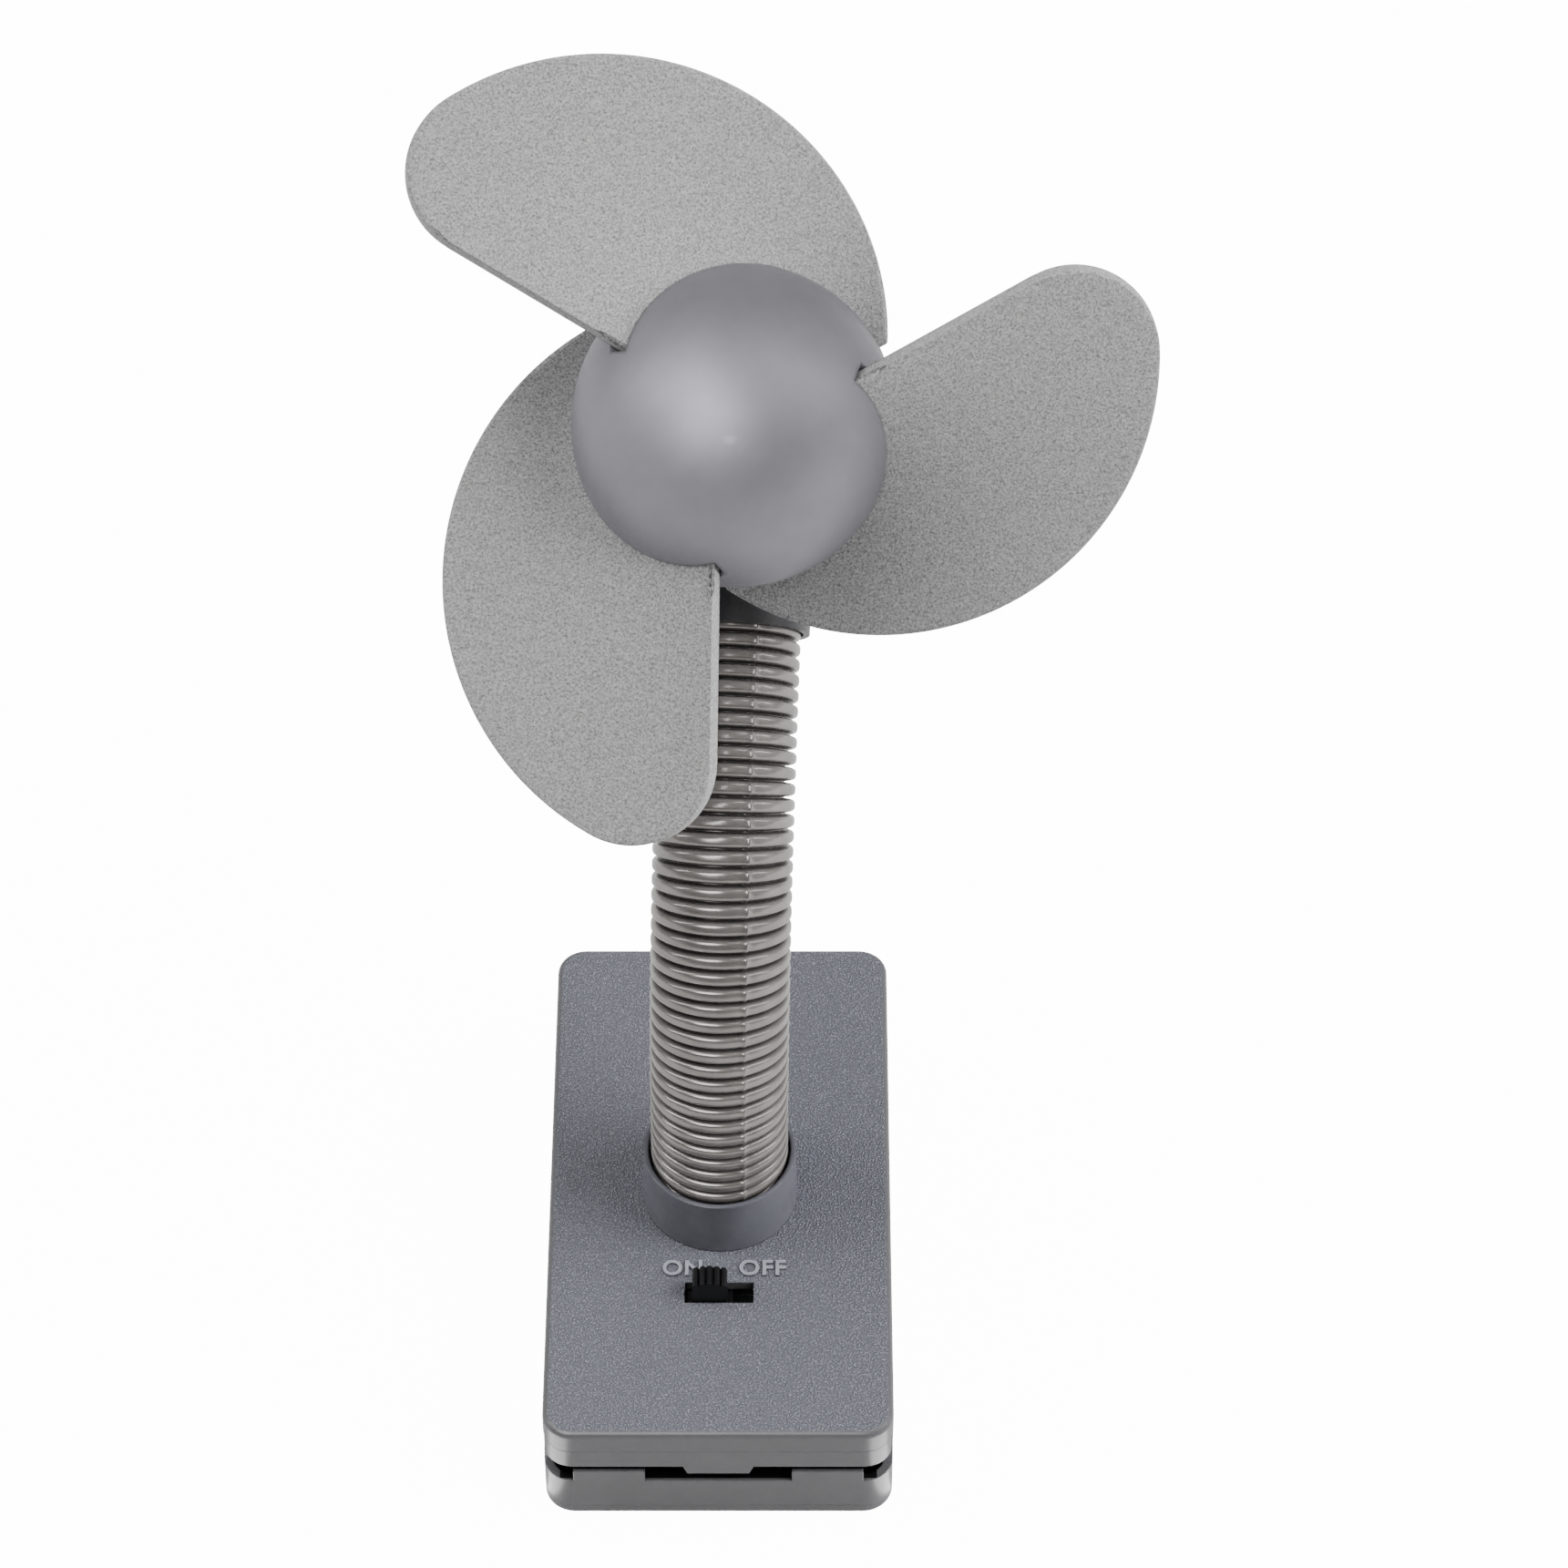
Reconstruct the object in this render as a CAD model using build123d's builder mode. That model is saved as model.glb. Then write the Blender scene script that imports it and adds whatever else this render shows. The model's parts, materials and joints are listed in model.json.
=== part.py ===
"""Clip-on battery fan: spring clip base, ribbed bendable neck and soft three-bladed rotor.

Millimetres. +Z is up, and the fan faces -Y. The origin is the middle of the foot: the flat
underside of the clip that the fan stands on. The neck is modelled in the bend of the photograph.
"""

import math
import os

from build123d import *

os.makedirs("parts", exist_ok=True)

# ---------------------------------------------------------------- driving dimensions

# Clip base
BASE_W = 56.0  # width along X
BASE_L = 101.5  # length along Y
CORNER_R = 4.8  # upright corners of the base
JAW_H = 11.6  # top of the jaw's front teeth above the foot
JAW_GAP = 1.4  # slit between the teeth and the case
CASE_H = 8.6  # height of the upper case
COVER_H = 4.5  # height of the top cover's rim
PLATE_T = 1.8  # top plate
CASE_WALL = 1.8
MOUTH_LIP = 3.0  # full-width strip of the lower case at the mouth
CASE_FLOOR = 1.5
RIM_FILLET = 1.1  # rounded edge of the plate
FIT = 0.02  # parts that are pressed or held together
RUN = 0.05  # shafts and pins that turn
SLIP = 0.3  # plastic parts that move past each other

# Jaw
JAW_WALL = 1.4
JAW_COVER_T = 2.4
JAW_SKIN = 1.4
JAW_SKIN_GAP = 6.0  # the skin ends this far in front of the hinge, and the slope starts there
JAW_SIDE_GAP = 0.4  # between the jaw's side walls and the case
JAW_NOTCH_Z = 9.1  # floor of the recess and the corner notches
JAW_RECESS_W = 23.5  # middle recess in the front wall
JAW_TEETH_W = 46.4  # outer edges of the two teeth
JAW_TAIL_H = 4.4  # back wall, low enough to be squeezed
TAB_W = 11.3
TAB_DROP = 1.85  # tab of the case that drops into the recess
TAB_T = 2.0
HINGE_BACK = 4.2  # behind the bay's middle
HINGE_Z = 9.0
PIN_R = 1.5
EAR_R = 3.6
EAR_T = 2.1
PIN_BOSS_T = 1.4  # bosses on the bay that hold the pins' inner ends

# Jaw springs
SPRING_WIRE_R = 0.45
SPRING_BEND_R = 0.48  # where the wire leaves the coil
SPRING_R = 3.2
SPRING_STEP = 1.5  # from one turn to the next
SPRING_LEG = 13.0

# Batteries (AA) and their bay
CELL_D = 14.2
CELL_L = 49.2  # without the nub
NUB_R = 2.75
NUB_L = 1.0
CELL_GAP = 0.4
BAY_WALL = 1.5
BAY_MID_SHARE = 0.155665  # the bay's middle lies this share of the length behind the origin
CONTACT_ROOM = 2.4  # at the front, for the spring
BRIDGE_ROOM = 1.0
CONTACT_T = 0.4
DOOR_T = 1.4
DOOR_Z = 0.0  # the door is flush with the foot
ROOF_T = 0.8
DOOR_TAB_L = 7.0
DOOR_TAB_W = 8.0
WINDOW_GAP = 1.5  # around the bay, where the jaw swings past it
SCREW_R = 1.0
SCREW_HEAD_R = 2.0
SCREW_HEAD_T = 0.8

# Switch
SWITCH_BACK = 21.1  # slot in front of the neck
SLOT_W = 11.15
SLOT_L = 4.1
KNOB_W = 5.6
KNOB_L = 3.6
KNOB_H = 4.8
KNOB_RIBS = 5
SWITCH_TRAVEL = 3.0
SWITCH_W = 16.0
SWITCH_L = 7.0
SWITCH_H = 4.0

# Neck
NECK_Y = -1.5  # collar's centre
NECK_YAW = 2.6  # the bend's plane is turned this far towards +X
COLLAR_R = 12.4
COLLAR_FOOT_R = 12.8
COLLAR_H = 11.0
COLLAR_FLOOR = 1.2
COLLAR_LEDGE_R = 9.3  # the sleeve stands on a ledge
RIB_R = 11.2
GROOVE_R = 9.4
SLEEVE_BORE_R = 8.4
RIB_STEP = 2.465  # from one rib to the next
RIBS_PER_LENGTH = 5
HIDDEN_RIBS = 1.5  # in the collar, and again in the head's socket
CORE_R = 3.0
ANCHOR_R = 10.5
ANCHOR_T = 1.4
ANCHOR_HUB_R = 5.0
NUT_R = 8.5
NUT_H = 2.4
# Degrees of lean that each length of the neck adds, from the collar up.
NECK_TURNS = (5.0, 9.0, 8.5, 8.5, 10.5, 8.5, 4.0, 0.0)

# Head, along the fan axis: 0 is the rim of the dome, and positive is towards the front
FAN_TILT = 39.7  # fan axis above the horizontal
HEAD_YAW = 1.0  # the fan axis is turned this far towards -X
ROTOR_TURN = 0.7  # where the rotor has stopped
NECK_TO_AXIS = 36.1  # from the socket's edge to the fan axis, along the neck
RIM_AHEAD = 36.9  # rim of the dome in front of that point
HUB_R = 24.8
HUB_WALL = 1.8
HUB_SKIRT = 16.4
HUB_BACK_T = 1.6
HUB_BOSS_R = 4.0
HOUSING_R = 21.0
HOUSING_WALL = 1.8
HOUSING_GAP = 1.1  # between the hub and the housing
HOUSING_L = 33.0
HOUSING_ROUND = 12.0
CAP_H = 4.0
SOCKET_R = 12.6
SOCKET_DEEP = 5.6
PLUG_R = 7.0
PLUG_L = 5.5
MOTOR_R = 10.2
MOTOR_L = 23.0
MOTOR_WALL = 0.6
END_CAP_T = 2.0
NOSE_R = 3.0
SHAFT_R = 1.0
ARMATURE_R = 6.8
ARMATURE_L = 16.0
MAGNET_T = 1.9
SEAT_L = 8.0
SCREW_POST_R = 2.4
SCREW_POST_L = 11.0

# Blades: angles as seen from the front, from +X towards up
BLADE_T = 3.4
BLADE_RISE = 78.0  # rise of the blade's surface in one turn
BLADE_ROOT_R = 18.5
BLADE_CORNER_ANGLE = 142.6  # trailing corner at the root
BLADE_CORNER_H = 12.6  # height of that corner in front of the rim
BLADE_START = 28.0  # angle of the leading end, at the hub
BLADE_ARC = (-19.8, 13.0, 43.0)  # the leading edge: centre and radius
TIP_R = 12.6  # the round tip, which the leading edge runs into
TIP_TURN = 122.3  # direction from the leading edge's centre to where the tip starts
SLOT_BEFORE = 2.5  # degrees that the dome's slot starts before the blade
SLOT_AFTER = 2.8  # and ends after its trailing corner

# Wires
LEAD_R = 0.5

# ---------------------------------------------------------------- worked out from them

CASE_Z = JAW_H + JAW_GAP
PLATE_Z = CASE_Z + CASE_H
PARTING_Z = PLATE_Z - COVER_H
PLATE_UNDER = PLATE_Z - PLATE_T
CASE_FLOOR_Z = CASE_Z + CASE_FLOOR
FRONT_Y = -BASE_L / 2
JAW_INNER = BASE_W / 2 - JAW_WALL
CASE_HALF = JAW_INNER - JAW_SIDE_GAP
JAW_TOP = PARTING_Z - SLIP
DOOR_TOP = DOOR_Z + DOOR_T
CELL_Z = DOOR_TOP + 0.2 + CELL_D / 2
CELL_X = CELL_D / 2 + CELL_GAP / 2
BAY_HALF = CELL_D + CELL_GAP
BAY_L = CONTACT_ROOM + CELL_L + NUB_L + BRIDGE_ROOM
BAY_MID_Y = BAY_MID_SHARE * BASE_L
BAY_FRONT_Y = BAY_MID_Y - BAY_L / 2
BAY_BACK_Y = BAY_MID_Y + BAY_L / 2
BAY_OUT = BAY_HALF + BAY_WALL
ROOF_Z = CELL_Z + CELL_D / 2 + 0.2
CELL_FRONT_Y = BAY_FRONT_Y + CONTACT_ROOM
DOOR_SCREW_Y = BAY_FRONT_Y - BAY_WALL - DOOR_TAB_L / 2
SWITCH_Y = NECK_Y - SWITCH_BACK
HINGE_Y = BAY_MID_Y + HINGE_BACK
JAW_SKIN_BACK = HINGE_Y - JAW_SKIN_GAP
PIN_END = BASE_W / 2 - 0.8
EAR_X = JAW_INNER - 1.3 - EAR_T / 2
SPRING_ROOM = EAR_X - EAR_T / 2 - BAY_OUT - PIN_BOSS_T
SPRING_TURNS = 0.5 + (SPRING_ROOM - 2.4) // SPRING_STEP  # as many as fit, and a half turn
SEGMENTS = len(NECK_TURNS)
LENGTH_OF_NECK = RIBS_PER_LENGTH * RIB_STEP  # one length of the sleeve
SLEEVE_TOTAL = SEGMENTS * LENGTH_OF_NECK
HIDDEN = HIDDEN_RIBS * RIB_STEP
SLEEVE_Z = PLATE_Z + COLLAR_H - HIDDEN
COLLAR_BORE_R = RIB_R + 0.35
SOCKET_EDGE = SLEEVE_TOTAL - HIDDEN
HOUSING_FRONT = -(HUB_SKIRT + HOUSING_GAP)
HOUSING_BACK = HOUSING_FRONT - HOUSING_L
MOTOR_FRONT = HOUSING_FRONT - HOUSING_WALL - 0.2
MOTOR_BACK = MOTOR_FRONT - MOTOR_L
SCREW_POST_X = MOTOR_R + 5.1

# The neck's own frame stands on the plate, turned by the yaw of the bend.
YAW = math.radians(NECK_YAW)
SIDE = Vector(math.cos(YAW), -math.sin(YAW), 0)
BACK = Vector(math.sin(YAW), math.cos(YAW), 0)
UP = Vector(0, 0, 1)
NECK_FOOT = Vector(0, NECK_Y, SLEEVE_Z)


def neck_station(s):
    """Point and lean of the neck's centre line, s along it from the sleeve's lower end."""
    point, lean, left = NECK_FOOT, 0.0, s
    if s <= 0:
        return point + UP * s, 0.0
    for turn in NECK_TURNS:
        step = min(left, LENGTH_OF_NECK)
        turned = turn * step / LENGTH_OF_NECK
        middle = math.radians(lean + turned / 2)
        half = math.radians(turned) / 2
        chord = step * (math.sin(half) / half if half else 1.0)
        point = point + BACK * (chord * math.sin(middle)) + UP * (chord * math.cos(middle))
        lean += turned
        left -= step
        if left <= 0:
            return point, lean
    along = BACK * math.sin(math.radians(lean)) + UP * math.cos(math.radians(lean))
    return point + along * left, lean


def neck_plane(s):
    """Plane across the neck, with its Z along the neck and its X always to the side."""
    point, lean = neck_station(s)
    along = BACK * math.sin(math.radians(lean)) + UP * math.cos(math.radians(lean))
    return Plane(origin=point, x_dir=SIDE, z_dir=along)


TILT = math.radians(FAN_TILT)
HEAD_TURN = math.radians(HEAD_YAW)
HEAD_SIDE = Vector(math.cos(HEAD_TURN), -math.sin(HEAD_TURN), 0)
FAN_AXIS = UP * math.sin(TILT) + UP.cross(HEAD_SIDE) * -math.cos(TILT)
AXIS_POINT = neck_station(SOCKET_EDGE + NECK_TO_AXIS)[0]
HUB = AXIS_POINT + FAN_AXIS * RIM_AHEAD
HEAD = Plane(origin=HUB, x_dir=HEAD_SIDE, z_dir=FAN_AXIS)
MERIDIAN = Plane(origin=HUB, x_dir=HEAD_SIDE, z_dir=-HEAD.y_dir)  # sketches are (radius, along)
SPIN_AXIS = Axis(HUB, FAN_AXIS)


def pivot_station(index):
    """Distance along the neck of bending point 1, 2, ... in the middle of its length."""
    return (index - 0.5) * LENGTH_OF_NECK


def in_head(x, y, z):
    """A point given in the head's frame: to the side, up, and forwards along the axis."""
    return HUB + HEAD.x_dir * x + HEAD.y_dir * y + HEAD.z_dir * z


def save(part, name):
    part.label = name
    export_step(part, f"parts/{name}.step")


# ---------------------------------------------------------------- upper case

BOSS_R = 2.6
SCREW_X = CASE_HALF - CASE_WALL - BOSS_R - 0.8
SCREW_FRONT_Y = FRONT_Y + CASE_WALL + BOSS_R + 1.35
SCREW_BACK_Y = BASE_L / 2 - CASE_WALL - BOSS_R - 0.35
SCREW_PLACES = [(x, y) for x in (-SCREW_X, SCREW_X) for y in (SCREW_FRONT_Y, SCREW_BACK_Y)]

with BuildPart() as top_cover:
    with BuildSketch(Plane.XY.offset(PARTING_Z)):
        RectangleRounded(BASE_W, BASE_L, CORNER_R)
    extrude(amount=COVER_H)
    fillet(top_cover.faces().sort_by(Axis.Z)[-1].edges(), RIM_FILLET)
    with BuildSketch(Plane.XY.offset(PARTING_Z)):
        RectangleRounded(BASE_W - 2 * CASE_WALL, BASE_L - 2 * CASE_WALL, CORNER_R - CASE_WALL)
    extrude(amount=COVER_H - PLATE_T, mode=Mode.SUBTRACT)
    with BuildSketch(Plane.XY.offset(CASE_FLOOR_Z + FIT)):
        with Locations(*SCREW_PLACES):
            Circle(BOSS_R)
    extrude(until=Until.NEXT)
    with BuildSketch(Plane.XY.offset(CASE_FLOOR_Z)):
        with Locations(*SCREW_PLACES):
            Circle(SCREW_R + FIT)
    extrude(amount=PLATE_UNDER - CASE_FLOOR_Z - 0.6, mode=Mode.SUBTRACT)
    with BuildSketch(Plane.XY.offset(PLATE_Z)):
        with Locations((0, SWITCH_Y)):
            Rectangle(SLOT_W, SLOT_L)
        with Locations((0, NECK_Y)):
            Circle(ANCHOR_HUB_R + FIT)
    extrude(amount=-PLATE_T, mode=Mode.SUBTRACT)
save(top_cover.part, "top_cover")

with BuildPart() as case_bottom:
    with BuildSketch(Plane.XY.offset(CASE_Z)):
        RectangleRounded(2 * CASE_HALF, BASE_L, CORNER_R)
    extrude(amount=PARTING_Z - CASE_Z)
    # At the mouth the case is as wide as the jaw.
    with BuildSketch(Plane.XY.offset(CASE_Z)):
        RectangleRounded(BASE_W, BASE_L, CORNER_R)
        with Locations((0, MOUTH_LIP)):
            Rectangle(BASE_W, BASE_L, mode=Mode.SUBTRACT)
    extrude(amount=PARTING_Z - CASE_Z)
    with BuildSketch(Plane.XY.offset(CASE_FLOOR_Z)):
        RectangleRounded(2 * (CASE_HALF - CASE_WALL), BASE_L - 2 * CASE_WALL, CORNER_R - CASE_WALL)
    extrude(amount=CASE_H, mode=Mode.SUBTRACT)
    with BuildSketch(Plane.XY.offset(DOOR_TOP)):
        with Locations((0, BAY_MID_Y)):
            Rectangle(2 * BAY_OUT, BAY_L + 2 * BAY_WALL)
    extrude(amount=ROOF_Z + ROOF_T - DOOR_TOP)
    with BuildSketch(Plane.XY.offset(DOOR_TOP)):
        with Locations((0, BAY_MID_Y)):
            Rectangle(2 * BAY_HALF, BAY_L)
    extrude(amount=ROOF_Z - DOOR_TOP, mode=Mode.SUBTRACT)
    with BuildSketch(Plane.XY.offset(DOOR_TOP)):
        with Locations((0, DOOR_SCREW_Y)):
            Circle(SCREW_R + 2)
    extrude(amount=CASE_FLOOR_Z - DOOR_TOP)
    with BuildSketch(Plane.XY.offset(DOOR_TOP)):
        with Locations((0, DOOR_SCREW_Y)):
            Circle(SCREW_R + FIT)
    extrude(amount=6, mode=Mode.SUBTRACT)
    # The tab at the mouth, with sloped ends.
    with BuildSketch(Plane.XZ.offset(-FRONT_Y)):
        Polygon(
            (-TAB_W / 2, CASE_Z),
            (TAB_W / 2, CASE_Z),
            (TAB_W / 2 - 0.7, CASE_Z - TAB_DROP),
            (-TAB_W / 2 + 0.7, CASE_Z - TAB_DROP),
            align=None,
        )
    extrude(amount=-TAB_T)
    # Ears and bay bosses that carry the hinge pins.
    for side in (-1, 1):
        with BuildSketch(Plane.YZ.offset(side * EAR_X)):
            with Locations((HINGE_Y, HINGE_Z)):
                Circle(EAR_R)
            with Locations((HINGE_Y, (HINGE_Z + CASE_FLOOR_Z) / 2)):
                Rectangle(2 * EAR_R, CASE_FLOOR_Z - HINGE_Z)
        extrude(amount=EAR_T / 2, both=True)
        with BuildSketch(Plane.YZ.offset(side * BAY_OUT)):
            with Locations((HINGE_Y, HINGE_Z)):
                Circle(PIN_R + PIN_BOSS_T)
        extrude(amount=side * PIN_BOSS_T)
        with BuildSketch(Plane.YZ.offset(side * (BAY_OUT + 0.3))):
            with Locations((HINGE_Y, HINGE_Z)):
                Circle(PIN_R + FIT)
        extrude(amount=side * (JAW_INNER - BAY_OUT), mode=Mode.SUBTRACT)
    # Screw holes, and slits for the contacts' tabs.
    with BuildSketch(Plane.XY.offset(CASE_Z)):
        with Locations(*SCREW_PLACES):
            Circle(SCREW_R + 0.2)
    extrude(amount=CASE_FLOOR, mode=Mode.SUBTRACT)
    with BuildSketch(Plane.XZ.offset(-BAY_FRONT_Y)):
        with Locations((-CELL_X, CASE_FLOOR_Z + 1.2), (CELL_X, CASE_FLOOR_Z + 1.2)):
            Rectangle(2.4, 0.6)
    extrude(amount=BAY_WALL, mode=Mode.SUBTRACT)
save(case_bottom.part, "case_bottom")

with BuildPart() as case_screws:
    with BuildSketch(Plane.XY.offset(CASE_Z - SCREW_HEAD_T - 0.4)):
        with Locations(*SCREW_PLACES):
            Circle(SCREW_HEAD_R)
    extrude(amount=SCREW_HEAD_T + 0.4)
    with BuildSketch(Plane.XY.offset(CASE_Z)):
        with Locations(*SCREW_PLACES):
            Circle(SCREW_R)
    extrude(amount=5.5)
save(case_screws.part, "case_screws")

# ---------------------------------------------------------------- batteries

with BuildPart() as battery_door:
    with BuildSketch(Plane.XY.offset(DOOR_Z)):
        with Locations((0, BAY_MID_Y)):
            Rectangle(2 * BAY_OUT, BAY_L + 2 * BAY_WALL)
        with Locations((0, DOOR_SCREW_Y)):
            Rectangle(DOOR_TAB_W, DOOR_TAB_L)
    extrude(amount=DOOR_T)
    with BuildSketch(Plane.XY.offset(DOOR_Z)):
        with Locations((0, DOOR_SCREW_Y)):
            Circle(SCREW_R + 0.1)
    extrude(amount=DOOR_T, mode=Mode.SUBTRACT)
    with BuildSketch(Plane.XY.offset(DOOR_Z)):
        with Locations((0, DOOR_SCREW_Y)):
            Circle(SCREW_HEAD_R + 0.1)
    extrude(amount=SCREW_HEAD_T, mode=Mode.SUBTRACT)
    # Finger grooves across the back of the door.
    with BuildSketch(Plane.XY.offset(DOOR_Z)):
        with Locations(*[(0, BAY_BACK_Y - 4 - 2.4 * i) for i in range(4)]):
            SlotOverall(16, 1.2)
    extrude(amount=0.5, mode=Mode.SUBTRACT)
save(battery_door.part, "battery_door")

with BuildPart() as battery_door_screw:
    with BuildSketch(Plane.XY.offset(DOOR_Z)):
        with Locations((0, DOOR_SCREW_Y)):
            Circle(SCREW_HEAD_R)
    extrude(amount=SCREW_HEAD_T)
    with BuildSketch(Plane.XY.offset(DOOR_Z)):
        with Locations((0, DOOR_SCREW_Y)):
            Circle(SCREW_R)
    extrude(amount=DOOR_T + 5)
    with BuildSketch(Plane.XY.offset(DOOR_Z)):
        with Locations((0, DOOR_SCREW_Y)):
            Rectangle(2.6, 0.5)
            Rectangle(0.5, 2.6)
    extrude(amount=0.4, mode=Mode.SUBTRACT)
save(battery_door_screw.part, "battery_door_screw")


def make_cell(x, nub_forward):
    """One AA cell lying along Y, with its nub to the front or to the back."""
    body_front = CELL_FRONT_Y + (NUB_L if nub_forward else 0)
    nub_front = CELL_FRONT_Y if nub_forward else CELL_FRONT_Y + CELL_L
    with BuildPart() as cell:
        with BuildSketch(Plane.XZ.offset(-body_front)):
            with Locations((x, CELL_Z)):
                Circle(CELL_D / 2)
        extrude(amount=-CELL_L)
        fillet(cell.edges().filter_by(GeomType.CIRCLE), 0.6)
        with BuildSketch(Plane.XZ.offset(-nub_front)):
            with Locations((x, CELL_Z)):
                Circle(NUB_R)
        extrude(amount=-NUB_L)
    return cell.part


save(make_cell(-CELL_X, True), "battery_cell_left")
save(make_cell(CELL_X, False), "battery_cell_right")


def coil_spring(base, pitch, height, radius, wire_radius):
    """A coil that starts on the plane's X axis and winds up along its Z axis.

    It is returned with the two ends of its centre line.
    """
    with BuildLine() as winding:
        add(base.location * Helix(pitch, height, radius, mode=Mode.PRIVATE))
    with BuildPart() as coil:
        with BuildSketch(Plane(origin=winding.line @ 0, z_dir=winding.line % 0)):
            Circle(wire_radius)
        sweep(path=winding.line, is_frenet=True)
    return coil.part, winding.line @ 0, winding.line @ 1


PAD_R = 2.5
CONTACT_W = 9.0
TAB_Z = CASE_FLOOR_Z + 1.2

with BuildPart() as contact_plate:
    with BuildSketch(Plane.XZ.offset(-BAY_FRONT_Y)):
        with Locations((-CELL_X, CELL_Z)):
            Rectangle(CONTACT_W, CONTACT_W)
        with Locations((-CELL_X, (CELL_Z + TAB_Z) / 2)):
            Rectangle(2.0, TAB_Z - CELL_Z + 0.4)
    extrude(amount=-CONTACT_T)
    with BuildSketch(Plane.XZ.offset(-BAY_FRONT_Y)):
        with Locations((-CELL_X, CELL_Z)):
            Circle(PAD_R)
    extrude(amount=-CONTACT_ROOM)
    with BuildSketch(Plane.XZ.offset(-BAY_FRONT_Y)):
        with Locations((-CELL_X, TAB_Z)):
            Rectangle(2.0, CONTACT_T)
    extrude(amount=BAY_WALL + 0.8)
save(contact_plate.part, "contact_plate")

with BuildPart() as contact_spring:
    with BuildSketch(Plane.XZ.offset(-BAY_FRONT_Y)):
        with Locations((CELL_X, CELL_Z)):
            Rectangle(CONTACT_W, CONTACT_W)
        with Locations((CELL_X, (CELL_Z + TAB_Z) / 2)):
            Rectangle(2.0, TAB_Z - CELL_Z + 0.4)
    extrude(amount=-CONTACT_T)
    with BuildSketch(Plane.XZ.offset(-BAY_FRONT_Y)):
        with Locations((CELL_X, TAB_Z)):
            Rectangle(2.0, CONTACT_T)
    extrude(amount=BAY_WALL + 0.8)
    coil_base = Plane(origin=(CELL_X, BAY_FRONT_Y + CONTACT_T + 0.1, CELL_Z), z_dir=(0, 1, 0))
    add(coil_spring(coil_base, 0.8, CONTACT_ROOM - CONTACT_T - 0.45, 3.0, 0.3)[0])
save(contact_spring.part, "contact_spring")

with BuildPart() as contact_bridge:
    with BuildSketch(Plane.XZ.offset(-BAY_BACK_Y)):
        with Locations((0, CELL_Z)):
            RectangleRounded(2 * CELL_X + CONTACT_W, CONTACT_W, 1.0)
    extrude(amount=CONTACT_T)
    with BuildSketch(Plane.XZ.offset(-BAY_BACK_Y)):
        with Locations((-CELL_X, CELL_Z), (CELL_X, CELL_Z)):
            Circle(PAD_R)
    extrude(amount=BRIDGE_ROOM)
save(contact_bridge.part, "contact_bridge")

# ---------------------------------------------------------------- switch

SWITCH_Z = PLATE_UNDER - SWITCH_H
SLIDER_H = 1.6
SLIDER_W = 7.4
SLIDER_L = 4.6
SWITCH_CAVITY_W = SLIDER_W + SWITCH_TRAVEL + 2 * SLIP
KNOB_X = -SWITCH_TRAVEL / 2  # ON is to the left
TERMINAL_X = (-4.0, 0.0, 4.0)
TERMINAL_Z = SWITCH_Z + 0.8

with BuildPart() as switch_body:
    with BuildSketch(Plane.XY.offset(SWITCH_Z)):
        with Locations((0, SWITCH_Y)):
            Rectangle(SWITCH_W, SWITCH_L)
    extrude(amount=SWITCH_H)
    with BuildSketch(Plane.XY.offset(PLATE_UNDER)):
        with Locations((0, SWITCH_Y)):
            Rectangle(SWITCH_CAVITY_W, SLIDER_L + 2 * SLIP)
    extrude(amount=-(SLIDER_H + 2 * SLIP), mode=Mode.SUBTRACT)
save(switch_body.part, "switch_body")

with BuildPart() as switch_knob:
    with BuildSketch(Plane.XY.offset(PLATE_UNDER - SLIP - SLIDER_H)):
        with Locations((KNOB_X, SWITCH_Y)):
            Rectangle(SLIDER_W, SLIDER_L)
    extrude(amount=SLIDER_H)
    with BuildSketch(Plane.XY.offset(PLATE_UNDER - SLIP)):
        with Locations((KNOB_X, SWITCH_Y)):
            Rectangle(KNOB_W, KNOB_L)
    extrude(amount=PLATE_T + SLIP + KNOB_H - 1.0)
    # Five ribs across the top, the middle one highest.
    rib_pitch = KNOB_W / KNOB_RIBS
    for rib in range(KNOB_RIBS):
        off_middle = rib - (KNOB_RIBS - 1) / 2
        rib_top = PLATE_Z + KNOB_H - 0.12 * off_middle**2
        rib_x = KNOB_X + off_middle * rib_pitch
        with BuildSketch(Plane.XZ.offset(-(SWITCH_Y - KNOB_L / 2))):
            Polygon(
                (rib_x - rib_pitch / 2, PLATE_Z + KNOB_H - 1.6),
                (rib_x + rib_pitch / 2, PLATE_Z + KNOB_H - 1.6),
                (rib_x + rib_pitch * 0.5, rib_top - 0.45),
                (rib_x + rib_pitch * 0.2, rib_top),
                (rib_x - rib_pitch * 0.2, rib_top),
                (rib_x - rib_pitch * 0.5, rib_top - 0.45),
                align=None,
            )
        extrude(amount=-KNOB_L)
save(switch_knob.part, "switch_knob")

with BuildPart() as switch_terminals:
    with BuildSketch(Plane.XZ.offset(-(SWITCH_Y + SWITCH_L / 2))):
        with Locations(*[(x, TERMINAL_Z) for x in TERMINAL_X]):
            Rectangle(1.6, 0.4)
    extrude(amount=-2.4)
save(switch_terminals.part, "switch_terminals")

# ---------------------------------------------------------------- jaw


def battery_window():
    """Outline of the jaw's window: the door's outline with room all round."""
    with BuildSketch() as window:
        with Locations((0, BAY_MID_Y)):
            Rectangle(2 * (BAY_OUT + WINDOW_GAP), BAY_L + 2 * (BAY_WALL + WINDOW_GAP))
        with Locations((0, DOOR_SCREW_Y)):
            Rectangle(DOOR_TAB_W + 2 * WINDOW_GAP, DOOR_TAB_L + 2 * WINDOW_GAP)
    return window.sketch


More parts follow.
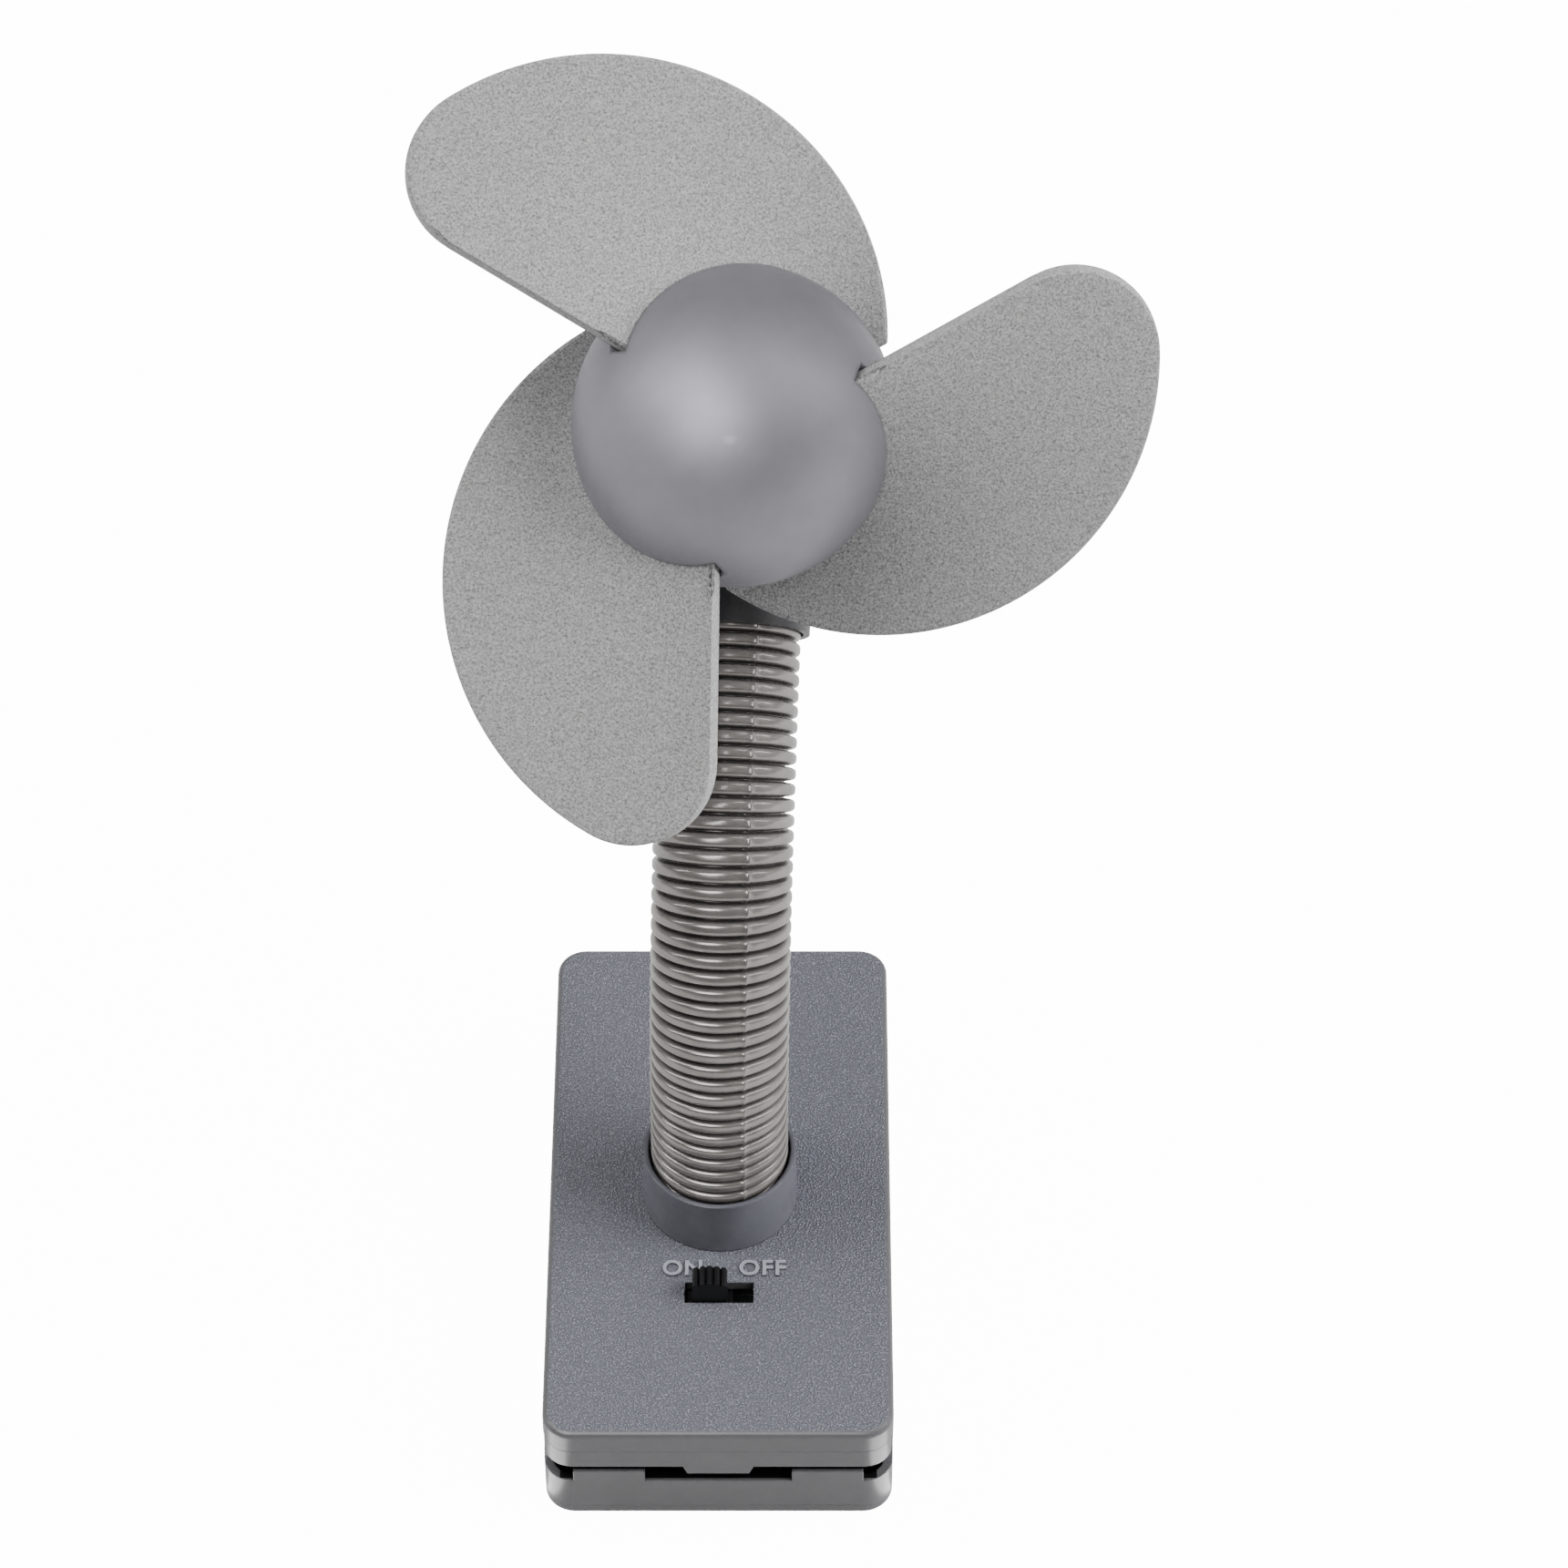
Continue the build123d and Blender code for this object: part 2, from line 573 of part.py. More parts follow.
with BuildPart() as lower_jaw:
    with BuildSketch(Plane.XY.offset(JAW_COVER_T)):
        RectangleRounded(BASE_W, BASE_L, CORNER_R)
        RectangleRounded(2 * JAW_INNER, BASE_L - 2 * JAW_WALL, CORNER_R - JAW_WALL, mode=Mode.SUBTRACT)
    extrude(amount=JAW_TOP - JAW_COVER_T)
    # The skin that things are clamped on.
    with BuildSketch(Plane.XY.offset(JAW_NOTCH_Z)):
        with Locations((0, (FRONT_Y + JAW_WALL + JAW_SKIN_BACK) / 2)):
            Rectangle(2 * JAW_INNER - 2 * CORNER_R, JAW_SKIN_BACK - FRONT_Y - JAW_WALL)
        with Locations((0, (FRONT_Y + CORNER_R + JAW_SKIN_BACK) / 2)):
            Rectangle(2 * JAW_INNER, JAW_SKIN_BACK - FRONT_Y - CORNER_R)
        add(battery_window(), mode=Mode.SUBTRACT)
    extrude(amount=-JAW_SKIN)
    # Side view of what is cut away: the corner swoop at the mouth and the slope to the tail.
    with BuildSketch(Plane.YZ) as above_walls:
        with BuildLine():
            Polyline(
                (FRONT_Y - 1, JAW_NOTCH_Z),
                (FRONT_Y + 3.6, JAW_NOTCH_Z),
            )
            ThreePointArc(
                (FRONT_Y + 3.6, JAW_NOTCH_Z),
                (FRONT_Y + 5.4, JAW_NOTCH_Z + 0.8),
                (FRONT_Y + 6.0, JAW_NOTCH_Z + 2.4),
            )
            Polyline(
                (FRONT_Y + 6.0, JAW_NOTCH_Z + 2.4),
                (FRONT_Y + 6.4, JAW_TOP),
                (JAW_SKIN_BACK, JAW_TOP),
                (BASE_L / 2 - 6, JAW_TOP - 7.0),
                (BASE_L / 2 - 4, JAW_TAIL_H),
                (BASE_L / 2 + 1, JAW_TAIL_H),
                (BASE_L / 2 + 1, JAW_TOP + 1),
                (FRONT_Y - 1, JAW_TOP + 1),
                (FRONT_Y - 1, JAW_NOTCH_Z),
            )
        make_face()
    extrude(amount=BASE_W, both=True, mode=Mode.SUBTRACT)
    # The two front teeth, either side of the recess.
    tooth_w = (JAW_TEETH_W - JAW_RECESS_W) / 2
    tooth_x = JAW_RECESS_W / 2 + tooth_w / 2
    with BuildSketch(Plane.XY.offset(JAW_COVER_T)):
        with Locations((-tooth_x, FRONT_Y + JAW_WALL / 2), (tooth_x, FRONT_Y + JAW_WALL / 2)):
            Rectangle(tooth_w, JAW_WALL)
    extrude(amount=JAW_H - JAW_COVER_T)
    # Hinge bosses, and the holes for the pins.
    for side in (-1, 1):
        with BuildSketch(Plane.YZ.offset(side * (JAW_INNER - 0.9))):
            with Locations((HINGE_Y, HINGE_Z)):
                Circle(EAR_R)
        extrude(amount=side * (JAW_WALL + 0.9))
    with BuildSketch(Plane.YZ):
        with Locations((HINGE_Y, HINGE_Z)):
            Circle(PIN_R + RUN)
    extrude(amount=PIN_END + RUN, both=True, mode=Mode.SUBTRACT)
save(lower_jaw.part, "lower_jaw")

with BuildPart() as jaw_cover:
    with BuildSketch():
        RectangleRounded(BASE_W, BASE_L, CORNER_R)
    extrude(amount=JAW_COVER_T)
    fillet(jaw_cover.faces().sort_by(Axis.Z)[0].edges(), 1.0)
    with BuildSketch():
        add(battery_window())
    extrude(amount=JAW_COVER_T, mode=Mode.SUBTRACT)
save(jaw_cover.part, "jaw_cover")

with BuildPart() as hinge_pins:
    for side in (-1, 1):
        with BuildSketch(Plane.YZ.offset(side * (BAY_OUT + 0.3))):
            with Locations((HINGE_Y, HINGE_Z)):
                Circle(PIN_R)
        extrude(amount=side * (PIN_END - BAY_OUT - 0.3))
save(hinge_pins.part, "hinge_pins")


def straight_leg(start, end):
    """A straight leg of spring wire, a little thicker in the bend at its start."""
    with BuildPart() as leg:
        with BuildSketch(Plane(origin=start, z_dir=end - start)):
            Circle(SPRING_WIRE_R)
        extrude(amount=(end - start).length)
        with Locations(start):
            Sphere(SPRING_BEND_R)
    return leg.part


def right_spring():
    """The spring starts at the top of the pin and ends under it, both legs pointing back."""
    coil_base = Plane(
        origin=(BAY_OUT + PIN_BOSS_T + 0.8, HINGE_Y, HINGE_Z), x_dir=(0, 0, 1), z_dir=(1, 0, 0)
    )
    coil, coil_top, coil_end = coil_spring(
        coil_base, SPRING_STEP, SPRING_TURNS * SPRING_STEP, SPRING_R, SPRING_WIRE_R
    )
    leg_end_z = JAW_COVER_T + SPRING_WIRE_R + SLIP
    with BuildPart() as spring:
        add(coil)
        add(straight_leg(coil_top, coil_top + Vector(0, SPRING_LEG, 0)))
        add(straight_leg(coil_end, Vector(coil_end.X, coil_end.Y + SPRING_LEG, leg_end_z)))
    return spring.part


with BuildPart() as jaw_springs:
    add(right_spring())
    mirror(about=Plane.YZ)
save(jaw_springs.part, "jaw_springs")

# ---------------------------------------------------------------- neck

with BuildPart() as neck_collar:
    with BuildSketch(Plane(origin=(0, NECK_Y, PLATE_Z), x_dir=(1, 0, 0), z_dir=(0, -1, 0))):
        with BuildLine():
            Polyline(
                (ANCHOR_HUB_R + FIT, 0),
                (COLLAR_FOOT_R, 0),
                (COLLAR_R, COLLAR_H),
                (COLLAR_BORE_R, COLLAR_H),
                (COLLAR_BORE_R, COLLAR_H - HIDDEN - FIT),
                (COLLAR_LEDGE_R, COLLAR_H - HIDDEN - FIT),
                (COLLAR_LEDGE_R, COLLAR_FLOOR),
                (ANCHOR_HUB_R + FIT, COLLAR_FLOOR),
                close=True,
            )
        make_face()
    revolve(axis=Axis((0, NECK_Y, 0), (0, 0, 1)))
    fillet(neck_collar.edges().sort_by(Axis.Z)[-1], 0.3)
save(neck_collar.part, "neck_collar")

HUB_TOP = PLATE_Z + COLLAR_FLOOR + NUT_H
LEAD_SLOT_W = 2.8

with BuildPart() as neck_anchor:
    with BuildSketch(Plane.XY.offset(PLATE_UNDER)):
        with Locations((0, NECK_Y)):
            Circle(ANCHOR_R)
    extrude(amount=-ANCHOR_T)
    with BuildSketch(Plane.XY.offset(PLATE_UNDER - ANCHOR_T)):
        with Locations((0, NECK_Y)):
            Circle(ANCHOR_HUB_R)
    extrude(amount=HUB_TOP - PLATE_UNDER + ANCHOR_T)
    with BuildSketch(Plane.XY.offset(PLATE_UNDER - ANCHOR_T)):
        with Locations((0, NECK_Y)):
            Circle(CORE_R + FIT)
    extrude(amount=HUB_TOP - PLATE_UNDER + ANCHOR_T, mode=Mode.SUBTRACT)
    with BuildSketch(Plane.XY.offset(PLATE_UNDER)):
        with Locations((0, NECK_Y - ANCHOR_R / 2)):
            Rectangle(LEAD_SLOT_W, ANCHOR_R)
    extrude(amount=-ANCHOR_T, mode=Mode.SUBTRACT)
save(neck_anchor.part, "neck_anchor")

with BuildPart() as neck_nut:
    with BuildSketch(Plane.XY.offset(PLATE_Z + COLLAR_FLOOR)):
        with Locations((0, NECK_Y)):
            RegularPolygon(NUT_R, 6)
            Circle(ANCHOR_HUB_R + FIT, mode=Mode.SUBTRACT)
    extrude(amount=NUT_H)
save(neck_nut.part, "neck_nut")

# Each rib is four circles: the groove, a shoulder, the crest and a shoulder.
RIB_PROFILE = ((0.0, GROOVE_R), (0.17, RIB_R - 0.3), (0.5, RIB_R), (0.83, RIB_R - 0.3))


def sleeve_length(index):
    """Length number index of the ribbed sleeve, counted from the collar."""
    start = (index - 1) * LENGTH_OF_NECK
    stations = [
        (start + (rib + share) * RIB_STEP, radius)
        for rib in range(RIBS_PER_LENGTH)
        for share, radius in RIB_PROFILE
    ]
    stations.append((start + LENGTH_OF_NECK, GROOVE_R))
    with BuildPart() as sleeve:
        for station, radius in stations:
            with BuildSketch(neck_plane(station)):
                Circle(radius)
        loft(ruled=True)
        for rib in range(RIBS_PER_LENGTH + 1):
            with BuildSketch(neck_plane(start + rib * RIB_STEP)):
                Circle(SLEEVE_BORE_R)
        loft(ruled=True, mode=Mode.SUBTRACT)
    return sleeve.part


def core_link(start, end, round_start, round_end):
    """A straight link of the bendable core, with round ends at its bending points."""
    along = (end - start).normalized()
    first = start + along * (CORE_R if round_start else 0)
    last = end - along * (CORE_R if round_end else 0)
    with BuildPart() as link:
        with BuildSketch(Plane(origin=first, x_dir=SIDE, z_dir=along)):
            Circle(CORE_R)
        extrude(amount=(last - first).length)
        for centre, rounded in ((first, round_start), (last, round_end)):
            if rounded:
                with Locations(centre):
                    Sphere(CORE_R)
    return link.part


for number in range(1, SEGMENTS + 1):
    save(sleeve_length(number), f"neck_sleeve_{number}")

PIVOT_GAP = 0.15  # each side of a bending point
HEAD_END = neck_plane(SLEEVE_TOTAL)
CORE_FOOT = Vector(NECK_FOOT.X, NECK_FOOT.Y, PLATE_UNDER + 1.3)  # inside the anchor
CORE_HEAD = HEAD_END.origin + HEAD_END.z_dir * 6.5  # inside the head's plug
PIVOTS = [neck_station(pivot_station(number))[0] for number in range(1, SEGMENTS + 1)]

for number in range(SEGMENTS + 1):
    at_foot, at_head = number == 0, number == SEGMENTS
    upper = CORE_HEAD if at_head else PIVOTS[number]
    lower = HEAD_END.origin - HEAD_END.z_dir * (LENGTH_OF_NECK / 2) if at_head else PIVOTS[number - 1]
    if at_foot:
        lower, upper = CORE_FOOT, Vector(CORE_FOOT.X, CORE_FOOT.Y, upper.Z)
    gap = (upper - lower).normalized() * PIVOT_GAP
    link_start = lower if at_foot else lower + gap
    link_end = upper if at_head else upper - gap
    save(core_link(link_start, link_end, not at_foot, not at_head), f"neck_core_{number}")

# ---------------------------------------------------------------- leads in the base

LEAD_Z = PLATE_UNDER - ANCHOR_T / 2
LEAD_SIDE = 0.65
LEAD_TURN_Z = PLATE_UNDER + 1.2  # leads turn up into the neck's core
TERMINAL_Y = SWITCH_Y + SWITCH_L / 2 + 2.2


def make_lead(points, radii):
    with BuildPart() as lead:
        with BuildLine() as path:
            FilletPolyline(*points, radius=radii)
        with BuildSketch(Plane(origin=path.line @ 0, z_dir=path.line % 0)):
            Circle(LEAD_R)
        sweep(path=path.line)
    return lead.part


CONTACT_TAB_Y = BAY_FRONT_Y - BAY_WALL - 0.4
LEAD_ON_TAB = TAB_Z + CONTACT_T / 2 + LEAD_R

save(
    make_lead(
        [
            (-CELL_X, CONTACT_TAB_Y, LEAD_ON_TAB),
            (-CELL_X, CONTACT_TAB_Y - 2.4, LEAD_ON_TAB + 0.6),
            (TERMINAL_X[0], TERMINAL_Y + 1.6, TERMINAL_Z + 1.2),
            (TERMINAL_X[0], TERMINAL_Y, TERMINAL_Z + 0.2 + LEAD_R),
        ],
        [0.8, 0.6],
    ),
    "lead_battery_to_switch",
)
save(
    make_lead(
        [
            (TERMINAL_X[1], TERMINAL_Y, TERMINAL_Z + 0.2 + LEAD_R),
            (TERMINAL_X[1] - LEAD_SIDE, TERMINAL_Y + 1.8, LEAD_Z),
            (-LEAD_SIDE, NECK_Y, LEAD_Z),
            (-LEAD_SIDE, NECK_Y, LEAD_TURN_Z),
        ],
        [0.8, 1.0],
    ),
    "lead_switch_to_neck",
)
save(
    make_lead(
        [
            (CELL_X, CONTACT_TAB_Y, LEAD_ON_TAB),
            (CELL_X - 0.5, CONTACT_TAB_Y - 1.6, LEAD_Z - 0.8),
            (LEAD_SIDE + 1.8, CONTACT_TAB_Y - 2.4, LEAD_Z),
            (LEAD_SIDE, CONTACT_TAB_Y, LEAD_Z),
            (LEAD_SIDE, NECK_Y, LEAD_Z),
            (LEAD_SIDE, NECK_Y, LEAD_TURN_Z),
        ],
        [0.8, 1.0, 1.0, 1.0],
    ),
    "lead_battery_to_neck",
)

# ---------------------------------------------------------------- head: motor and its housing

with BuildPart() as motor_housing:
    with BuildSketch(MERIDIAN):
        with BuildLine():
            Polyline(
                (0, HOUSING_FRONT - CAP_H),
                (HOUSING_R, HOUSING_FRONT - CAP_H),
                (HOUSING_R, HOUSING_BACK + HOUSING_ROUND),
            )
            RadiusArc(
                (HOUSING_R, HOUSING_BACK + HOUSING_ROUND),
                (HOUSING_R - HOUSING_ROUND, HOUSING_BACK),
                HOUSING_ROUND,
            )
            Polyline(
                (HOUSING_R - HOUSING_ROUND, HOUSING_BACK),
                (0, HOUSING_BACK),
                (0, HOUSING_FRONT - CAP_H),
            )
        make_face()
    revolve(axis=SPIN_AXIS)
    # The socket for the neck.
    with BuildSketch(neck_plane(SOCKET_EDGE)):
        Circle(SOCKET_R)
    extrude(amount=NECK_TO_AXIS - 4)
    with BuildSketch(HEAD.offset(HOUSING_FRONT - CAP_H)):
        Circle(HOUSING_R + 0.1)
    extrude(amount=CAP_H + 1, mode=Mode.SUBTRACT)
    inner = HOUSING_R - HOUSING_WALL
    inner_round = HOUSING_ROUND - HOUSING_WALL
    inner_back = HOUSING_BACK + HOUSING_WALL
    with BuildSketch(MERIDIAN):
        with BuildLine():
            Polyline(
                (0, HOUSING_FRONT - CAP_H),
                (inner, HOUSING_FRONT - CAP_H),
                (inner, inner_back + inner_round),
            )
            RadiusArc((inner, inner_back + inner_round), (inner - inner_round, inner_back), inner_round)
            Polyline(
                (inner - inner_round, inner_back),
                (0, inner_back),
                (0, HOUSING_FRONT - CAP_H),
            )
        make_face()
    revolve(axis=SPIN_AXIS, mode=Mode.SUBTRACT)
    with BuildSketch(neck_plane(SOCKET_EDGE)):
        Circle(COLLAR_BORE_R)
    extrude(amount=SOCKET_DEEP, mode=Mode.SUBTRACT)
    with BuildSketch(neck_plane(SOCKET_EDGE)):
        Circle(PLUG_R + FIT)
    extrude(amount=NECK_TO_AXIS - MOTOR_R - 1.8, mode=Mode.SUBTRACT)
    # Posts for the two screws.
    with BuildSketch(HEAD.offset(HOUSING_FRONT - CAP_H)):
        for side in (-1, 1):
            with Locations((side * SCREW_POST_X, 0)):
                Circle(SCREW_POST_R)
            with Locations((side * (SCREW_POST_X + inner + 0.4) / 2, 0)):
                Rectangle(inner + 0.4 - SCREW_POST_X, SCREW_POST_R)
        with Locations((-SCREW_POST_X, 0), (SCREW_POST_X, 0)):
            Circle(SCREW_R + FIT, mode=Mode.SUBTRACT)
    extrude(amount=-SCREW_POST_L)
save(motor_housing.part, "motor_housing")

SHAFT_HOLE_R = NOSE_R + 0.1
CAP_LIP = 1.2
LIP_L = 1.6

with BuildPart() as housing_cap:
    with BuildSketch(HEAD.offset(HOUSING_FRONT)):
        Circle(HOUSING_R)
    extrude(amount=-CAP_H)
    fillet(housing_cap.faces().sort_by(SPIN_AXIS)[-1].edges(), 1.0)
    with BuildSketch(HEAD.offset(HOUSING_FRONT - HOUSING_WALL)):
        Circle(HOUSING_R - HOUSING_WALL)
        Circle(MOTOR_R + FIT + 1.5, mode=Mode.SUBTRACT)
    extrude(amount=-CAP_H, mode=Mode.SUBTRACT)
    with BuildSketch(HEAD.offset(HOUSING_FRONT - HOUSING_WALL)):
        Circle(MOTOR_R + FIT + 1.5)
    extrude(amount=-SEAT_L)
    with BuildSketch(HEAD.offset(HOUSING_FRONT - HOUSING_WALL)):
        Circle(MOTOR_R + FIT)
    extrude(amount=-SEAT_L, mode=Mode.SUBTRACT)
    with BuildSketch(HEAD.offset(HOUSING_FRONT)):
        Circle(SHAFT_HOLE_R)
    extrude(amount=-HOUSING_WALL, mode=Mode.SUBTRACT)
    # A lip that registers in the rear housing, with gaps for the screw posts.
    with BuildSketch(HEAD.offset(HOUSING_FRONT - HOUSING_WALL)):
        Circle(HOUSING_R - HOUSING_WALL)
        Circle(HOUSING_R - HOUSING_WALL - CAP_LIP, mode=Mode.SUBTRACT)
    extrude(amount=-(CAP_H - HOUSING_WALL))
    with BuildSketch(HEAD.offset(HOUSING_FRONT - CAP_H)):
        Circle(HOUSING_R - HOUSING_WALL - FIT)
        Circle(HOUSING_R - HOUSING_WALL - CAP_LIP, mode=Mode.SUBTRACT)
        Rectangle(2 * HOUSING_R, 2 * SCREW_POST_R + 1, mode=Mode.SUBTRACT)
    extrude(amount=-LIP_L)
    with BuildSketch(HEAD.offset(HOUSING_FRONT)):
        with Locations((-SCREW_POST_X, 0), (SCREW_POST_X, 0)):
            Circle(SCREW_POST_R)
    extrude(amount=-CAP_H)
    with BuildSketch(HEAD.offset(HOUSING_FRONT)):
        with Locations((-SCREW_POST_X, 0), (SCREW_POST_X, 0)):
            Circle(SCREW_R + 0.1)
    extrude(amount=-CAP_H, mode=Mode.SUBTRACT)
    with BuildSketch(HEAD.offset(HOUSING_FRONT)):
        with Locations((-SCREW_POST_X, 0), (SCREW_POST_X, 0)):
            Circle(SCREW_HEAD_R + 0.1)
    extrude(amount=-SCREW_HEAD_T, mode=Mode.SUBTRACT)
save(housing_cap.part, "housing_cap")

with BuildPart() as housing_screws:
    with BuildSketch(HEAD.offset(HOUSING_FRONT)):
        with Locations((-SCREW_POST_X, 0), (SCREW_POST_X, 0)):
            Circle(SCREW_HEAD_R)
    extrude(amount=-SCREW_HEAD_T)
    with BuildSketch(HEAD.offset(HOUSING_FRONT)):
        with Locations((-SCREW_POST_X, 0), (SCREW_POST_X, 0)):
            Circle(SCREW_R)
    extrude(amount=-(CAP_H + 6))
save(housing_screws.part, "housing_screws")

with BuildPart() as motor_can:
    with BuildSketch(HEAD.offset(MOTOR_FRONT)):
        Circle(MOTOR_R)
    extrude(amount=-MOTOR_L)
    with BuildSketch(HEAD.offset(MOTOR_FRONT - MOTOR_WALL)):
        Circle(MOTOR_R - MOTOR_WALL)
    extrude(amount=-MOTOR_L, mode=Mode.SUBTRACT)
    with BuildSketch(HEAD.offset(MOTOR_FRONT - MOTOR_WALL - 1.2)):
        Circle(NOSE_R)
    extrude(amount=MOTOR_WALL + 1.2 + HOUSING_WALL)
    with BuildSketch(HEAD.offset(HOUSING_FRONT)):
        Circle(SHAFT_R + RUN)
    extrude(amount=-8, mode=Mode.SUBTRACT)
save(motor_can.part, "motor_can")

with BuildPart() as motor_end_cap:
    with BuildSketch(HEAD.offset(MOTOR_BACK)):
        Circle(MOTOR_R)
    extrude(amount=-END_CAP_T)
    with BuildSketch(HEAD.offset(MOTOR_BACK)):
        Circle(NOSE_R)
    extrude(amount=1.0)
    with BuildSketch(HEAD.offset(MOTOR_BACK + 1.0)):
        Circle(SHAFT_R + RUN)
    extrude(amount=-2.4, mode=Mode.SUBTRACT)
save(motor_end_cap.part, "motor_end_cap")

ARMATURE_FRONT = MOTOR_FRONT - 3.2
MOTOR_TERMINAL_X = 4.0
MOTOR_TERMINAL_L = 2.3

with BuildPart() as motor_terminals:
    with BuildSketch(HEAD.offset(MOTOR_BACK - END_CAP_T)):
        with Locations((-MOTOR_TERMINAL_X, 0), (MOTOR_TERMINAL_X, 0)):
            Rectangle(0.5, 2.2)
    extrude(amount=-MOTOR_TERMINAL_L)
save(motor_terminals.part, "motor_terminals")

with BuildPart() as motor_magnets:
    with BuildSketch(HEAD.offset(ARMATURE_FRONT)):
        Circle(MOTOR_R - MOTOR_WALL - FIT)
        Circle(MOTOR_R - MOTOR_WALL - MAGNET_T, mode=Mode.SUBTRACT)
        Rectangle(2 * MOTOR_R, 7.0, mode=Mode.SUBTRACT)
    extrude(amount=-ARMATURE_L)
save(motor_magnets.part, "motor_magnets")

with BuildPart() as motor_armature:
    with BuildSketch(HEAD.offset(ARMATURE_FRONT)):
        Circle(ARMATURE_R)
        with PolarLocations(ARMATURE_R - 1.4, 3, start_angle=90):
            SlotOverall(3.4, 1.2, mode=Mode.SUBTRACT)
        Circle(SHAFT_R + FIT, mode=Mode.SUBTRACT)
    extrude(amount=-ARMATURE_L)
save(motor_armature.part, "motor_armature")

SHAFT_FRONT = -4.0

with BuildPart() as motor_shaft:
    with BuildSketch(HEAD.offset(SHAFT_FRONT)):
        Circle(SHAFT_R)
    extrude(amount=MOTOR_BACK - SHAFT_FRONT - 0.9)
save(motor_shaft.part, "motor_shaft")

with BuildPart() as neck_socket_plug:
    with BuildSketch(HEAD_END.offset(SLIP)):
        Circle(COLLAR_BORE_R - 0.05)
    extrude(amount=SOCKET_DEEP - HIDDEN - SLIP)
    with BuildSketch(HEAD_END.offset(SLIP)):
        Circle(PLUG_R)
    extrude(amount=SOCKET_DEEP - HIDDEN - SLIP + PLUG_L)
    with BuildSketch(HEAD_END.offset(SLIP)):
        Circle(CORE_R + FIT)
    extrude(amount=SOCKET_DEEP - HIDDEN - SLIP + PLUG_L, mode=Mode.SUBTRACT)
save(neck_socket_plug.part, "neck_socket_plug")


def motor_lead(side):
    """A lead from the neck's core round the motor to its terminal."""
    start = CORE_HEAD + HEAD_END.z_dir * 0.05 + SIDE * (side * LEAD_SIDE)
    inside = neck_station(SOCKET_EDGE + NECK_TO_AXIS - 20.5)[0] + SIDE * (side * 1.6)
    return make_lead(
        [
            start,
            inside,
            in_head(side * 5, -14.0, MOTOR_BACK + 1),
            in_head(side * (MOTOR_TERMINAL_X + 0.8), -8.5, MOTOR_BACK - END_CAP_T - 1.4),
            in_head(side * (MOTOR_TERMINAL_X + 0.8), -0.8, MOTOR_BACK - END_CAP_T - 1.2),
        ],
        [2.0, 1.6, 1.2],
    )


with BuildPart() as motor_leads:
    add(motor_lead(-1))
    add(motor_lead(1))
save(motor_leads.part, "motor_leads")

# ---------------------------------------------------------------- head: rotor


def blade_plane(number):
    """Head frame turned so that blade 1, 2 or 3 stands where blade 1 is drawn."""
    turn = math.radians(ROTOR_TURN - 120.0 * (number - 1))
    across = HEAD.x_dir * math.cos(turn) + HEAD.y_dir * math.sin(turn)
    return Plane(origin=HUB, x_dir=across, z_dir=FAN_AXIS)


def blade_height(x, y):
    """How far the blade's middle surface lies in front of the rim, at a point of its outline."""
    angle = math.degrees(math.atan2(y, x))
    return BLADE_CORNER_H + BLADE_RISE * (angle - BLADE_CORNER_ANGLE) / 360


def blade_section(frame, inner, outer, thickness):
    """Section of a blade on the line between two points of its outline, square to its surface."""
    start = frame.from_local_coords(Vector(*inner, blade_height(*inner)))
    end = frame.from_local_coords(Vector(*outer, blade_height(*outer)))
    along = (end - start).normalized()
    middle_x, middle_y = (inner[0] + outer[0]) / 2, (inner[1] + outer[1]) / 2
    radius = math.hypot(middle_x, middle_y)
    round_axis = (frame.y_dir * middle_x - frame.x_dir * middle_y) / radius
    rising = round_axis + frame.z_dir * (BLADE_RISE / (2 * math.pi * radius))
    normal = along.cross(rising).normalized()
    with BuildSketch(Plane(origin=start, x_dir=along, z_dir=along.cross(normal))) as section:
        with Locations(((end - start).length / 2, 0)):
            Rectangle((end - start).length, thickness)
    return section.sketch.faces()[0]


def polar(radius, angle):
    return radius * math.cos(math.radians(angle)), radius * math.sin(math.radians(angle))


def circle_reach(angle, circle):
    """Distance from the fan axis to the far side of a circle, at one angle."""
    centre_x, centre_y, radius = circle
    along = centre_x * math.cos(math.radians(angle)) + centre_y * math.sin(math.radians(angle))
    return along + math.sqrt(radius**2 - centre_x**2 - centre_y**2 + along**2)


def on_arc(radius):
    """Point at a distance from the leading edge's centre, towards the start of the tip."""
    x, y = polar(radius, TIP_TURN)
    return BLADE_ARC[0] + x, BLADE_ARC[1] + y


def touching_point(corner, circle):
    """Where a straight edge from the corner touches the trailing side of a circle."""
    across, rise = circle[0] - corner[0], circle[1] - corner[1]
    reach = math.hypot(across, rise)
    turn = math.degrees(math.atan2(rise, across) + math.asin(circle[2] / reach))
    x, y = polar(math.sqrt(reach**2 - circle[2] ** 2), turn)
    return corner[0] + x, corner[1] + y


BLADE_TIP = (*on_arc(BLADE_ARC[2] - TIP_R), TIP_R)
TIP_START = math.degrees(math.atan2(on_arc(BLADE_ARC[2])[1], on_arc(BLADE_ARC[2])[0]))
ROOT_CORNER = polar(BLADE_ROOT_R, BLADE_CORNER_ANGLE)
BLADE_END = touching_point(ROOT_CORNER, BLADE_TIP)
BLADE_ANGLES = (BLADE_START, 42.0, 56.0, 70.0, 84.0, 98.0, 110.0, 121.0, 131.0, 134.5, 138.0, 141.0)


